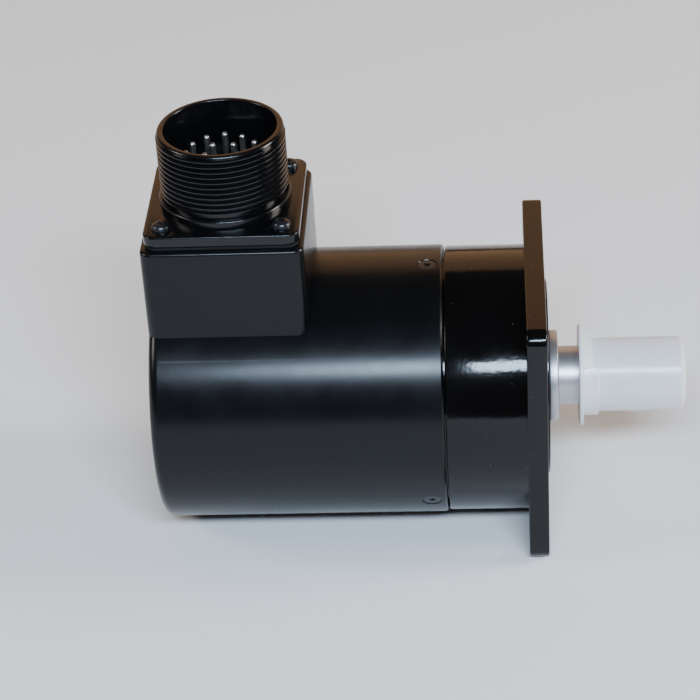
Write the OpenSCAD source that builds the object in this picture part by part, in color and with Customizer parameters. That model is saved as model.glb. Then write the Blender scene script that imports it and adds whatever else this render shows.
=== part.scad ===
// Flange-mounted rotary position encoder with a top connector.
// +X runs along the shaft to its free end and +Z up through the connector.
// The origin is the centre of the mounting face. Millimetres.

/* [Mounting flange] */
// Side of the square mounting plate, which sets the size of everything across the body
flange_size = 68; // [66:0.5:90]
// Thickness of the mounting plate
flange_t = 5; // [4:0.5:8]
// Corner radius of the mounting plate
flange_corner = 3.8; // [2:0.1:5]
// Distance from the plate's edge to a mounting hole's centre
bolt_edge = 6; // [5:0.5:8]
// Diameter of a mounting hole
bolt_hole = 5.4; // [3.4:0.1:5.6]
// Diameter of the locating pilot
pilot_d = 50; // [36:1:60]
// Height of the locating pilot
pilot_h = 0.7; // [0.5:0.1:1.2]

/* [Body] */
// How much wider the rear cover is than the mounting plate
cover_over = 0.6; // [0:0.1:2]
// Step down from the rear cover to the front body
front_step = 0.4; // [0.2:0.1:0.8]
// Distance from mounting face to the seam
seam_x = 25; // [22:0.5:32]
// Distance from mounting face to the rear of the cover
body_len = 98; // [94:0.5:120]
// Wall of the rear cover
cover_wall = 2.9; // [2.2:0.1:3.6]
// Radius of the cover's rear edge
cover_edge = 2.5; // [1:0.1:2.8]
// Chamfer on the cover's front edge
cover_chamfer = 0.5; // [0.2:0.1:0.8]
// Length of the housing spigot that enters the cover
spigot_len = 12; // [11:0.5:13]
// Radial clearance between spigot and cover
spigot_gap = 0.1; // [0.05:0.01:0.15]
// Gap between the housing and the cover at the seam
seam_gap = 0.4; // [0.2:0.1:0.6]

/* [Connector box] */
// Distance from the cover's rear to the box's rear face
box_inset = 0; // [0:0.5:2]
// Margin of the box past the connector flange, along the shaft
box_margin_x = 0.95; // [0.5:0.05:3]
// Margin of the box past the connector flange, across the shaft
box_margin_y = 1.65; // [0.5:0.05:3]
// Height of the box top above the cover's barrel
box_rise = 17.1; // [14:0.1:25]
// Radius of the box's vertical edges
box_corner = 3; // [1:0.5:4]
// Radial room round the connector's barrel inside the box
box_room = 0.3; // [0.2:0.1:0.8]

/* [Connector] */
// Major diameter of the coupling thread, which sets the size of the connector
thread_d = 31.75; // [31:0.05:39]
// Pitch of the coupling thread
thread_pitch = 1.411; // [1:0.001:2]
// Depth of the coupling thread
thread_depth = 0.8; // [0.5:0.05:0.9]
// Margin of the square flange past the thread
conn_margin = 3.175; // [3:0.025:5]
// Thickness of the connector flange
conn_flange_t = 3; // [2:0.1:4]
// Corner radius of the connector flange
conn_corner = 3.2; // [2:0.1:4]
// Distance from the flange's edge to a connector screw's centre
conn_edge = 4.37; // [4:0.01:4.6]
// Diameter of a connector screw hole
conn_hole = 3.05; // [2.9:0.05:3.2]
// Height of the shell above its flange
shell_h = 19.8; // [18:0.1:24]
// Wall of the shell, from the thread's crest to the bore
shell_wall = 2.025; // [1.6:0.025:2.4]
// Wall of the barrel below the flange
shell_tail_wall = 0.85; // [0.6:0.05:1]
// Length of the barrel below the gasket face
shell_tail = 5.4; // [5:0.1:8]
// Step of the smooth collar past the thread's crest
foot_step = 0.425; // [0.1:0.025:0.8]
// Height of the smooth collar
foot_h = 2.4; // [1:0.1:4]
// Thickness of the flange gasket
gasket_t = 0.6; // [0.4:0.1:1]
// Height of the insert's face above the connector flange
insert_face = 4; // [2:0.1:6]
// Diameter of a contact pin
pin_d = 1.6; // [1.4:0.05:1.8]
// Depth of the pin tips below the rim
pin_depth = 6.4; // [5:0.1:9]
// Distance from the shell's bore to the outer pin circle
pin_inset = 4.95; // [4.4:0.05:5.6]
// Radius of the inner pin circle
pin_ring_inner = 4.4; // [4:0.1:5]
// Number of pins on the outer circle
pins_outer = 12; // [8:1:13]
// Number of pins on the inner circle
pins_inner = 5; // [3:1:6]

/* [Shaft] */
// Diameter of the shaft, which sets the size of everything on it
shaft_d = 15; // [14:0.5:18]
// Length of the shaft in front of the mounting face
shaft_len = 33; // [31:0.5:40]
// Height of the shoulder between the bearings
shoulder_step = 2; // [1.5:0.1:2.4]
// Step down to the tail that carries the disk hub
tail_step = 1.5; // [1:0.1:3]
// Width of the keyway
key_w = 5; // [4:0.5:5]
// Depth of the keyway
key_depth = 3; // [2:0.1:3.5]
// Distance from the keyway's end to the shaft's end
key_margin = 2; // [1.5:0.5:4]
// Length of the keyway
key_len = 18; // [12:0.5:18]
// Angle of the keyway above the horizontal
key_angle = 28; // [0:1:90]
// Start of the snap-ring groove from the mounting face
ring_groove_x = 9.6; // [9:0.1:11]
// Width of the snap-ring groove
ring_groove_w = 1.15; // [1.1:0.05:1.3]
// Depth of the snap-ring groove
ring_groove_depth = 0.35; // [0.25:0.05:0.8]
// Wall of the slinger collar
collar_wall = 4.15; // [3:0.05:5]
// Distance from mounting face to the collar's front
collar_end = 3.2; // [2.8:0.1:4.5]
// Running gap between the pilot and the collar
collar_gap = 0.3; // [0.2:0.05:0.5]

/* [Shaft cap] */
// Start of the cap from the mounting face
cap_start = 8.4; // [7:0.1:9]
// Wall of the cap
cap_wall = 1.89; // [1.4:0.01:2.4]
// Clearance of the cap's bore on the shaft
cap_gap = 0.06; // [0.03:0.01:0.1]
// Reach of the cap's lip past its wall
lip_reach = 3.55; // [2.5:0.05:4.5]
// Thickness of the cap's lip
lip_t = 1; // [0.8:0.1:1.4]
// Length of the flare that braces the lip at the top
flare_len = 3.5; // [2:0.1:5]
// Angle of the flare's ends above the horizontal
flare_angle = 42; // [20:1:60]
// Step of the base round the rest of the lip past the cap's wall
base_step = 0.9; // [0.6:0.1:2]
// Length of the stepped base
base_len = 4; // [3:0.1:6]
// Thickness of the cap's end wall
cap_end = 2; // [1:0.1:3]
// Radius of the cap's end edge
cap_edge = 1.5; // [0.5:0.1:1.6]

/* [Bearings] */
// Outside diameter of a bearing
bearing_od = 32; // [31.5:0.5:34]
// Width of a bearing
bearing_w = 9; // [8:0.1:11]
// Diameter of a ball
ball_d = 4.76; // [4:0.02:5]
// Number of balls
ball_count = 9; // [7:1:9]
// Running clearance round a ball
ball_gap = 0.06; // [0.03:0.01:0.1]
// Depth of the front bearing's shoulder
bearing_x = 6; // [6:0.5:7]
// Wall of the housing behind the retaining ring
end_lip = 0.8; // [0.6:0.1:2]

/* [Disk] */
// Room between the disk's edge and the cover, past the standoffs
disk_room = 0.9; // [0.9:0.1:3]
// Thickness of the glass disk
disk_t = 1.2; // [0.8:0.1:2]
// Diameter of the hub flange
hub_d = 24; // [23:0.5:26]
// Length of the hub
hub_len = 7.5; // [6:0.1:8]
// Thickness of the clamp ring
clamp_t = 1.5; // [1:0.1:2]

/* [Circuit board] */
// Thickness of the circuit board
board_t = 1.6; // [1:0.1:2]
// Length of a standoff
standoff_len = 18; // [17:0.5:20]
// Diameter of a standoff
standoff_d = 5; // [4:0.1:5]
// Diameter of the wire bundle
bundle_d = 6; // [4:0.5:7]

/* [Hidden] */
$fn = 96;
small_fn = 32;
ball_fn = 48;
// Overlap that fuses two solids of one piece
eps = 0.01;
// How far a cut runs past a face
over = 1;
// Clearance round a screw in a fitted hole and in a loose one
screw_gap = 0.1;
loose_gap = 0.2;

// Widths across the body and the shaft
cover_d = flange_size + cover_over;
front_d = cover_d - 2 * front_step;
bolt_spacing = flange_size - 2 * bolt_edge;
cover_bore = cover_d - 2 * cover_wall;
spigot_d = cover_bore - 2 * spigot_gap;
housing_end = -seam_x - spigot_len;
shoulder_d = shaft_d + 2 * shoulder_step;
tail_d = shaft_d - 2 * tail_step;
shaft_chamfer = 0.6;
centre_hole_d = 4;
centre_hole_tip = 0.4;
centre_hole_depth = 2;
key_start = shaft_len - key_margin - key_len;
ring_groove_d = shaft_d - 2 * ring_groove_depth;
collar_d = shaft_d + 2 * collar_wall;

// Bearing row, from the front shoulder to the retaining ring
washer_t = 1;
washer_reach = 2.5;
washer_gap = 0.2;
circlip_t = 1.2;
circlip_groove = 0.8;
circlip_gap = 0.1;
circlip_reach = 2;
circlip_slot = 5;
circlip_x = housing_end + end_lip;
washer_x = circlip_x + circlip_t;
rear_brg = washer_x + washer_t;
front_brg = -bearing_x - bearing_w;
spacer_wall = 2;
ball_ring = (bearing_od + shaft_d) / 4;
race_gap = 1.5;
cage_t = 2;
cage_lip = 1;
cage_w = ball_d + 2 * cage_lip;
seat_gap = 0.5;
seat_d = shoulder_d + 2 * seat_gap;
seal_wall = 4.5;
seal_d = shaft_d + 2 * seal_wall;
seal_t = 4;
seal_proud = 0.2;
seal_x = -seal_t + seal_proud;
seal_gap = 0.05;
seal_skin = 1.2;

// Cover, its seal and its screws
cover_floor = -body_len + cover_wall;
cover_front = -seam_x - seam_gap;
seal_groove_w = 2.2;
seal_groove_depth = 1.4;
seal_inset = 1.2;
seal_groove_x = housing_end + seal_inset;
seal_groove_d = spigot_d - 2 * seal_groove_depth;
seal_cord = 1.44;
screw_setback = 4.2;
screw_x = -seam_x - screw_setback;
screw_angles = [0, 120, 240];
cover_screw_d = 2.5;
cover_screw_len = 6.5;
cover_head_d = 4.7;
cover_head_h = 1.6;
cover_hole_d = cover_screw_d + 2 * screw_gap;
countersink_gap = 0.15;
countersink_d = cover_head_d + 2 * countersink_gap;
countersink_rim = 0.1;
head_sink = 0.2;
tap_spare = 1.5;
recess_w = 0.8;
recess_l = 2.6;
recess_h = 1;

// Connector stack
conn_flange = thread_d + 2 * conn_margin;
conn_spacing = conn_flange - 2 * conn_edge;
shell_bore = thread_d - 2 * shell_wall;
shell_tail_d = shell_bore + 2 * shell_tail_wall;
foot_d = thread_d + 2 * foot_step;
pin_ring_outer = shell_bore / 2 - pin_inset;
box_len = conn_flange + 2 * box_margin_x;
box_wid = conn_flange + 2 * box_margin_y;
box_x = body_len - box_inset - box_len / 2;
box_top = cover_d / 2 + box_rise;
box_bore = shell_tail_d + 2 * box_room;
gasket_inset = 0.3;
flange_z = box_top + gasket_t;
flange_top = flange_z + conn_flange_t;
rim_z = flange_top + shell_h;
rim_chamfer = 0.7;
rim_chamfer_h = 0.8;
thread_end = 1.2;
thread_over = 0.2;
tail_z = flange_z - shell_tail;
insert_top = flange_top + insert_face;
insert_gap = 0.1;
clip_t = 1;
clip_inset = 1;
clip_groove = 0.3;
clip_gap = 0.05;
clip_reach = 1.5;
clip_slot = 4;
clip_z = tail_z + clip_inset;
insert_bottom = clip_z + clip_t;
ledge_t = 0.8;
ledge_in = 0.6;
pin_tail_d = 2.2;
pin_tail_len = 2;
pin_tail_z = tail_z - pin_tail_len;
pin_top = rim_z - pin_depth;
conn_screw_d = 2.8;
conn_grip = 4.5;
conn_tap_len = 7;
conn_head_d = 4.5;
conn_head_h = 1.7;
conn_head_edge = 0.7;

// Disk and board stack behind the housing
disk_d = cover_bore - 2 * (standoff_d + disk_room);
hub_clear = 1.2;
hub_floor = 1;
hub_flange_t = 2.5;
hub_wall = 2.5;
hub_front = housing_end - hub_clear;
disk_front = hub_front - hub_len;
disk_back = disk_front - disk_t;
clamp_inset = 0.5;
clamp_screw_d = 2;
clamp_screw_r = (tail_d + hub_d) / 4;
clamp_grip = 2;
clamp_tap = 2.2;
clamp_head_d = 3.4;
clamp_head_h = 1;
track_inset = 4;
track_r = disk_d / 2 - track_inset;
led_gap = 0.8;
led_box_w = 10;
led_box_h = 8;
led_set_back = 2;
led_d = 5;
led_len = 3;
led_lens_d = 3;
mask_t = 0.8;
mask_gap = 0.3;
mask_w = 9;
mask_h = 7;
mask_back = disk_back - mask_gap - mask_t;
sensor_w = 12;
sensor_h = 9.5;
sensor_low = 5;
window_w = 5;
window_h = 4;
board_gap = 0.8;
board_front = housing_end - standoff_len;
board_back = board_front - board_t;
board_d = cover_bore - 2 * board_gap;
standoff_gap = 0.6;
standoff_r = disk_d / 2 + standoff_d / 2 + standoff_gap;
standoff_angles = [60, 180, 300];
standoff_tap = 7;
stud_d = 2.5;
stud_len = 4.5;
stud_spare = 0.5;
board_head_d = 4.4;
board_head_h = 1.5;
board_screw_len = 6;
header_t = 5;
header_w = 14;
header_h = 9;
// Flat components, each as [across, up, thickness, width, height]
chips = [
    [-19, -5, 2, 9, 10],
    [11, -4, 2, 8, 8],
    [-5, -18, 1.4, 10, 7]
];
capacitor_at = [-12, 12];
capacitor_d = 6;
capacitor_h = 6;
bend_r = 10;
fan_h = 8;

// Cap
cap_d = shaft_d + 2 * (cap_gap + cap_wall);
lip_d = cap_d + 2 * lip_reach;
base_d = cap_d + 2 * base_step;
flare_step = 0.7;
cap_tip_gap = 0.3;
cap_bore_end = shaft_len + cap_tip_gap;
cap_tip = cap_bore_end + cap_end;

// A cylinder along X between two places
module rod(x0, x1, d) {
    translate([x0, 0, 0]) rotate([0, 90, 0]) cylinder(h = x1 - x0, d = d);
}

// A plain ring along X
module ring(x0, x1, d_in, d_out) {
    difference() {
        rod(x0, x1, d_out);
        rod(x0 - over, x1 + over, d_in);
    }
}

// A block with round vertical edges, centred on Z
module rounded_block(w, d, h, r) {
    translate([-w / 2 + r, -d / 2, 0]) cube([w - 2 * r, d, h]);
    translate([-w / 2, -d / 2 + r, 0]) cube([w, d - 2 * r, h]);
    for (sx = [-1, 1], sy = [-1, 1])
        translate([sx * (w / 2 - r), sy * (d / 2 - r), 0]) cylinder(h = h, r = r);
}

// The four corners of a square pattern
module at_corners(spacing) {
    for (sx = [-1, 1], sy = [-1, 1])
        translate([sx * spacing / 2, sy * spacing / 2, 0]) children();
}

// A cross recess that opens upwards at the origin
module cross_recess() {
    for (a = [0, 90])
        rotate([0, 0, a]) translate([-recess_l / 2, -recess_w / 2, -recess_h])
            cube([recess_l, recess_w, recess_h + over]);
}

// Places of the cover screws, +Z outwards
module at_cover_screws() {
    for (a = screw_angles)
        rotate([a, 0, 0]) translate([screw_x, 0, cover_d / 2]) children();
}

// Places of the standoffs, along -X from the housing
module at_standoffs() {
    for (a = standoff_angles)
        rotate([a, 0, 0]) translate([0, 0, standoff_r]) children();
}

module flange_housing() color([0.06, 0.06, 0.065]) {
    difference() {
        union() {
            translate([-flange_t, 0, 0]) rotate([0, 90, 0])
                rounded_block(flange_size, flange_size, flange_t, flange_corner);
            rod(-seam_x, -flange_t + eps, front_d);
            rod(housing_end, -seam_x + eps, spigot_d);
            rod(-eps, pilot_h, pilot_d);
        }
        rotate([0, 90, 0]) at_corners(bolt_spacing)
            translate([0, 0, -flange_t - over]) cylinder(h = flange_t + 2 * over, d = bolt_hole);
        rod(-bearing_x - over, pilot_h + over, seat_d);
        rod(seal_x, pilot_h + over, seal_d);
        rod(housing_end - over, -bearing_x, bearing_od);
        rod(circlip_x, washer_x, bearing_od + 2 * circlip_groove);
        ring(seal_groove_x, seal_groove_x + seal_groove_w, seal_groove_d, spigot_d + 2 * over);
        at_cover_screws() translate([0, 0, -cover_screw_len - tap_spare])
            cylinder(h = cover_screw_len + tap_spare + over, d = cover_screw_d);
        at_standoffs() translate([housing_end - over, 0, 0]) rotate([0, 90, 0])
            cylinder(h = over + stud_len + stud_spare, d = stud_d);
    }
}

module cover_barrel() {
    rotate([0, 90, 0]) rotate_extrude() {
        translate([0, -body_len]) square([cover_d / 2 - cover_edge, body_len + cover_front]);
        translate([0, -body_len + cover_edge])
            square([cover_d / 2, body_len + cover_front - cover_edge - cover_chamfer]);
        intersection() {
            translate([cover_d / 2 - cover_edge, -body_len + cover_edge]) circle(r = cover_edge);
            translate([0, -body_len]) square([cover_d / 2, cover_edge + eps]);
        }
        polygon([
            [0, cover_front - cover_chamfer - eps],
            [cover_d / 2, cover_front - cover_chamfer - eps],
            [cover_d / 2, cover_front - cover_chamfer],
            [cover_d / 2 - cover_chamfer, cover_front],
            [0, cover_front]
        ]);
    }
}

module rear_cover() color([0.07, 0.07, 0.075]) {
    difference() {
        union() {
            cover_barrel();
            translate([-box_x, 0, cover_d / 4])
                rounded_block(box_len, box_wid, box_top - cover_d / 4, box_corner);
        }
        rod(cover_floor, 0, cover_bore);
        translate([-box_x, 0, 0]) cylinder(h = box_top + over, d = box_bore);
        translate([-box_x, 0, box_top - conn_tap_len]) at_corners(conn_spacing)
            cylinder(h = conn_tap_len + over, d = conn_screw_d);
        at_cover_screws() {
            translate([0, 0, -cover_wall - over]) cylinder(h = cover_wall + 2 * over, d = cover_hole_d);
            translate([0, 0, -cover_head_h - countersink_rim])
                cylinder(h = cover_head_h, d1 = cover_hole_d, d2 = countersink_d);
            translate([0, 0, -countersink_rim - eps]) cylinder(h = over, d = countersink_d);
        }
    }
}

module cover_seal() color([0.1, 0.1, 0.1]) {
    rotate([0, 90, 0]) rotate_extrude()
        translate([(seal_groove_d + cover_bore) / 4, seal_groove_x + seal_groove_w / 2])
            circle(d = seal_cord);
}

module cover_screws() color([0.25, 0.25, 0.27]) {
    at_cover_screws() difference() {
        union() {
            translate([0, 0, -cover_head_h - head_sink])
                cylinder(h = cover_head_h, d1 = cover_screw_d, d2 = cover_head_d);
            translate([0, 0, -cover_screw_len - head_sink]) cylinder(h = cover_screw_len, d = cover_screw_d);
        }
        translate([0, 0, -head_sink]) cross_recess();
    }
}

module connector_gasket() color([0.12, 0.12, 0.12]) {
    side = conn_flange - 2 * gasket_inset;
    translate([-box_x, 0, box_top]) difference() {
        rounded_block(side, side, gasket_t, conn_corner);
        translate([0, 0, -over]) cylinder(h = gasket_t + 2 * over, d = box_bore);
        translate([0, 0, -over]) at_corners(conn_spacing) cylinder(h = gasket_t + 2 * over, d = conn_hole);
    }
}

// The coupling thread is drawn as level grooves, one per turn.
module thread_grooves() {
    root = thread_d / 2 - thread_depth;
    for (z = [flange_top + foot_h + thread_pitch : thread_pitch : rim_z - thread_end])
        rotate_extrude() polygon([
            [root, z],
            [thread_d / 2 + thread_over, z - thread_pitch / 2],
            [thread_d / 2 + thread_over, z + thread_pitch / 2]
        ]);
}

module connector_shell() color([0.05, 0.05, 0.05]) {
    translate([-box_x, 0, 0]) difference() {
        union() {
            translate([0, 0, flange_z]) rounded_block(conn_flange, conn_flange, conn_flange_t, conn_corner);
            translate([0, 0, flange_z]) cylinder(h = rim_z - rim_chamfer_h - flange_z, d = thread_d);
            translate([0, 0, rim_z - rim_chamfer_h - eps])
                cylinder(h = rim_chamfer_h + eps, d1 = thread_d, d2 = thread_d - 2 * rim_chamfer);
            translate([0, 0, flange_top - eps]) cylinder(h = foot_h + eps, d = foot_d);
            translate([0, 0, tail_z]) cylinder(h = shell_tail + eps, d = shell_tail_d);
        }
        thread_grooves();
        translate([0, 0, insert_top + ledge_t])
            cylinder(h = rim_z + over - insert_top - ledge_t, d = shell_bore);
        translate([0, 0, tail_z - over]) cylinder(h = insert_top - tail_z + over, d = shell_bore);
        translate([0, 0, tail_z]) cylinder(h = rim_z - tail_z, d = shell_bore - 2 * ledge_in);
        translate([0, 0, clip_z]) cylinder(h = clip_t, d = shell_bore + 2 * clip_groove);
        translate([0, 0, flange_z - over]) at_corners(conn_spacing)
            cylinder(h = conn_flange_t + 2 * over, d = conn_hole);
    }
}

module at_pins() {
    for (i = [0 : pins_outer - 1])
        rotate([0, 0, 90 + i * 360 / pins_outer]) translate([pin_ring_outer, 0, 0]) children();
    for (i = [0 : pins_inner - 1])
        rotate([0, 0, 270 + i * 360 / pins_inner]) translate([pin_ring_inner, 0, 0]) children();
}

module connector_insert() color([0.09, 0.09, 0.09]) {
    translate([-box_x, 0, 0]) difference() {
        translate([0, 0, insert_bottom])
            cylinder(h = insert_top - insert_bottom, d = shell_bore - 2 * insert_gap);
        at_pins() translate([0, 0, insert_bottom - over])
            cylinder(h = insert_top - insert_bottom + 2 * over, d = pin_d);
    }
}

module insert_retaining_ring() color([0.6, 0.6, 0.62]) {
    translate([-box_x, 0, clip_z]) difference() {
        cylinder(h = clip_t, d = shell_bore + 2 * (clip_groove - clip_gap));
        translate([0, 0, -over]) cylinder(h = clip_t + 2 * over, d = shell_bore - 2 * clip_reach);
        translate([0, -clip_slot / 2, -over]) cube([shell_bore, clip_slot, clip_t + 2 * over]);
    }
}

module connector_pins() color([0.75, 0.75, 0.76]) {
    translate([-box_x, 0, 0]) at_pins() {
        translate([0, 0, insert_bottom])
            cylinder(h = pin_top - pin_d / 2 - insert_bottom, d = pin_d, $fn = small_fn);
        translate([0, 0, pin_top - pin_d / 2]) sphere(d = pin_d, $fn = small_fn);
        translate([0, 0, pin_tail_z])
            cylinder(h = insert_bottom - pin_tail_z, d = pin_tail_d, $fn = small_fn);
    }
}

module connector_screws() color([0.06, 0.06, 0.06]) {
    translate([-box_x, 0, flange_top]) at_corners(conn_spacing) difference() {
        union() {
            translate([0, 0, -conn_flange_t - gasket_t - conn_grip])
                cylinder(h = conn_flange_t + gasket_t + conn_grip, d = conn_screw_d);
            cylinder(h = conn_head_h - conn_head_edge, d = conn_head_d);
            translate([0, 0, conn_head_h - conn_head_edge - eps])
                cylinder(h = conn_head_edge + eps, d1 = conn_head_d, d2 = conn_head_d - 2 * conn_head_edge);
        }
        translate([0, 0, conn_head_h]) cross_recess();
    }
}

module shaft() color([0.7, 0.7, 0.7]) {
    difference() {
        union() {
            rod(front_brg - eps, shaft_len - shaft_chamfer, shaft_d);
            translate([shaft_len - shaft_chamfer - eps, 0, 0]) rotate([0, 90, 0])
                cylinder(h = shaft_chamfer + eps, d1 = shaft_d, d2 = shaft_d - 2 * shaft_chamfer);
            rod(rear_brg + bearing_w, front_brg, shoulder_d);
            rod(rear_brg, rear_brg + bearing_w + eps, shaft_d);
            rod(disk_front + hub_floor, rear_brg + eps, tail_d);
        }
        ring(ring_groove_x, ring_groove_x + ring_groove_w, ring_groove_d, shaft_d + 2 * over);
        rotate([90 - key_angle, 0, 0])
            translate([key_start + key_w / 2, 0, shaft_d / 2 - key_depth]) {
                translate([0, -key_w / 2, 0]) cube([key_len - key_w, key_w, key_depth + over]);
                cylinder(h = key_depth + over, d = key_w);
                translate([key_len - key_w, 0, 0]) cylinder(h = key_depth + over, d = key_w);
            }
        translate([shaft_len - centre_hole_depth, 0, 0]) rotate([0, 90, 0])
            cylinder(h = centre_hole_depth + eps, d1 = centre_hole_tip, d2 = centre_hole_d);
    }
}

module slinger_collar() color([0.72, 0.72, 0.72]) {
    ring(pilot_h + collar_gap, collar_end, shaft_d, collar_d);
}

module shaft_seal() color([0.12, 0.12, 0.12]) {
    difference() {
        rod(seal_x, seal_x + seal_t, seal_d);
        rod(seal_x - over, seal_x + seal_t + over, shaft_d + 2 * seal_gap);
        ring(seal_x - over, seal_x + seal_t - seal_skin, shaft_d + 2 * seal_skin, seal_d - 2 * seal_skin);
    }
}

module race_cut(x) {
    rotate([0, 90, 0]) rotate_extrude()
        translate([ball_ring, x + bearing_w / 2]) circle(d = ball_d + 2 * ball_gap);
}

module bearing_outer(x) color([0.75, 0.75, 0.76]) {
    difference() {
        ring(x, x + bearing_w, 2 * (ball_ring + race_gap), bearing_od);
        race_cut(x);
    }
}

module bearing_inner(x) color([0.75, 0.75, 0.76]) {
    difference() {
        ring(x, x + bearing_w, shaft_d, 2 * (ball_ring - race_gap));
        race_cut(x);
    }
}

module at_balls(x) {
    for (i = [0 : ball_count - 1])
        rotate([i * 360 / ball_count, 0, 0]) translate([x + bearing_w / 2, 0, ball_ring]) children();
}

module bearing_balls(x) color([0.8, 0.8, 0.8]) {
    at_balls(x) sphere(d = ball_d, $fn = ball_fn);
}

module bearing_cage(x) color([0.6, 0.45, 0.2]) {
    difference() {
        ring(
            x + (bearing_w - cage_w) / 2,
            x + (bearing_w + cage_w) / 2,
            2 * ball_ring - cage_t,
            2 * ball_ring + cage_t
        );
        at_balls(x) sphere(d = ball_d + 2 * ball_gap, $fn = ball_fn);
    }
}

module front_bearing_outer() bearing_outer(front_brg);
module front_bearing_inner() bearing_inner(front_brg);
module front_bearing_balls() bearing_balls(front_brg);
module front_bearing_cage() bearing_cage(front_brg);
module rear_bearing_outer() bearing_outer(rear_brg);
module rear_bearing_inner() bearing_inner(rear_brg);
module rear_bearing_balls() bearing_balls(rear_brg);
module rear_bearing_cage() bearing_cage(rear_brg);

module bearing_spacer() color([0.65, 0.65, 0.67]) {
    ring(rear_brg + bearing_w, front_brg, bearing_od - 2 * spacer_wall, bearing_od);
}

module preload_washer() color([0.6, 0.6, 0.62]) {
    ring(washer_x, rear_brg, bearing_od - 2 * washer_reach, bearing_od - 2 * washer_gap);
}

module bearing_retaining_ring() color([0.3, 0.3, 0.32]) {
    difference() {
        ring(
            circlip_x,
            washer_x,
            bearing_od - 2 * circlip_reach,
            bearing_od + 2 * (circlip_groove - circlip_gap)
        );
        translate([circlip_x - over, -circlip_slot / 2, 0])
            cube([circlip_t + 2 * over, circlip_slot, bearing_od]);
    }
}

module at_clamp_screws() {
    for (a = screw_angles) rotate([a, 0, 0]) translate([0, 0, clamp_screw_r]) children();
}

module disk_hub() color([0.7, 0.7, 0.72]) {
    difference() {
        union() {
            rod(disk_front, disk_front + hub_flange_t, hub_d);
            rod(disk_front, hub_front, tail_d + 2 * hub_wall);
            rod(disk_back, disk_front + eps, tail_d);
        }
        rod(disk_front + hub_floor, hub_front + over, tail_d);
        at_clamp_screws() translate([disk_front - over, 0, 0]) rotate([0, 90, 0])
            cylinder(h = over + clamp_tap, d = clamp_screw_d);
    }
}

module code_disk() color([0.7, 0.8, 0.85, 0.5]) {
    difference() {
        ring(disk_back, disk_front, tail_d, disk_d);
        at_clamp_screws() translate([disk_back - over, 0, 0]) rotate([0, 90, 0])
            cylinder(h = disk_t + 2 * over, d = clamp_screw_d + 2 * loose_gap);
    }
}

module disk_clamp() color([0.72, 0.72, 0.74]) {
    difference() {
        rod(disk_back - clamp_t, disk_back, hub_d - 2 * clamp_inset);
        at_clamp_screws() translate([disk_back - clamp_t - over, 0, 0]) rotate([0, 90, 0])
            cylinder(h = clamp_t + 2 * over, d = clamp_screw_d + 2 * screw_gap);
    }
}

module disk_clamp_screws() color([0.4, 0.4, 0.42]) {
    at_clamp_screws() {
        translate([disk_back - clamp_t - eps, 0, 0]) rotate([0, 90, 0])
            cylinder(h = clamp_t + disk_t + clamp_grip, d = clamp_screw_d, $fn = small_fn);
        translate([disk_back - clamp_t - clamp_head_h, 0, 0]) rotate([0, 90, 0])
            cylinder(h = clamp_head_h, d = clamp_head_d, $fn = small_fn);
    }
}

module led_holder() color([0.08, 0.08, 0.08]) {
    difference() {
        translate([disk_front + led_gap, -led_box_w / 2, track_r - led_box_h / 2])
            cube([housing_end - disk_front - led_gap, led_box_w, led_box_h]);
        translate([disk_front, 0, track_r]) rotate([0, 90, 0])
            cylinder(h = led_set_back + led_len, d = led_d);
    }
}

module led_emitter() color([0.85, 0.8, 0.75]) {
    translate([disk_front + led_set_back, 0, track_r]) rotate([0, 90, 0])
        cylinder(h = led_len, d = led_d);
    translate([disk_front + led_set_back, 0, track_r]) intersection() {
        sphere(d = led_lens_d, $fn = ball_fn);
        translate([-led_lens_d, -led_lens_d, -led_lens_d])
            cube([led_lens_d + eps, 2 * led_lens_d, 2 * led_lens_d]);
    }
}

module index_mask() color([0.6, 0.7, 0.75]) {
    translate([mask_back, -mask_w / 2, track_r - mask_h / 2]) cube([mask_t, mask_w, mask_h]);
}

module sensor_holder() color([0.1, 0.1, 0.1]) {
    reach = mask_back - board_front;
    difference() {
        translate([board_front, -sensor_w / 2, track_r - sensor_low]) cube([reach, sensor_w, sensor_h]);
        translate([board_front - over, -window_w / 2, track_r - window_h / 2])
            cube([reach + 2 * over, window_w, window_h]);
    }
}

module main_board() color([0.05, 0.3, 0.12]) {
    difference() {
        rod(board_back, board_front, board_d);
        at_standoffs() translate([board_back - over, 0, 0]) rotate([0, 90, 0])
            cylinder(h = board_t + 2 * over, d = stud_d + 2 * loose_gap);
    }
}

module board_standoffs() color([0.75, 0.65, 0.35]) {
    at_standoffs() {
        difference() {
            translate([board_front, 0, 0]) rotate([0, 90, 0]) cylinder(h = standoff_len, d = standoff_d);
            translate([board_front - over, 0, 0]) rotate([0, 90, 0])
                cylinder(h = over + standoff_tap, d = stud_d);
        }
        translate([housing_end - eps, 0, 0]) rotate([0, 90, 0]) cylinder(h = stud_len, d = stud_d);
    }
}

module board_screws() color([0.7, 0.7, 0.72]) {
    at_standoffs() {
        translate([board_back - board_head_h, 0, 0]) rotate([0, 90, 0])
            cylinder(h = board_head_h, d = board_head_d, $fn = small_fn);
        translate([board_back - eps, 0, 0]) rotate([0, 90, 0])
            cylinder(h = board_screw_len, d = stud_d, $fn = small_fn);
    }
}

module board_parts() color([0.1, 0.1, 0.1]) {
    translate([board_back - header_t, -header_w / 2, -header_h / 2]) cube([header_t, header_w, header_h]);
    for (c = chips)
        translate([board_back - c[2], c[0], c[1]]) cube([c[2], c[3], c[4]]);
    translate([board_back - capacitor_h, capacitor_at[0], capacitor_at[1]]) rotate([0, 90, 0])
        cylinder(h = capacitor_h, d = capacitor_d);
}

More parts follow.
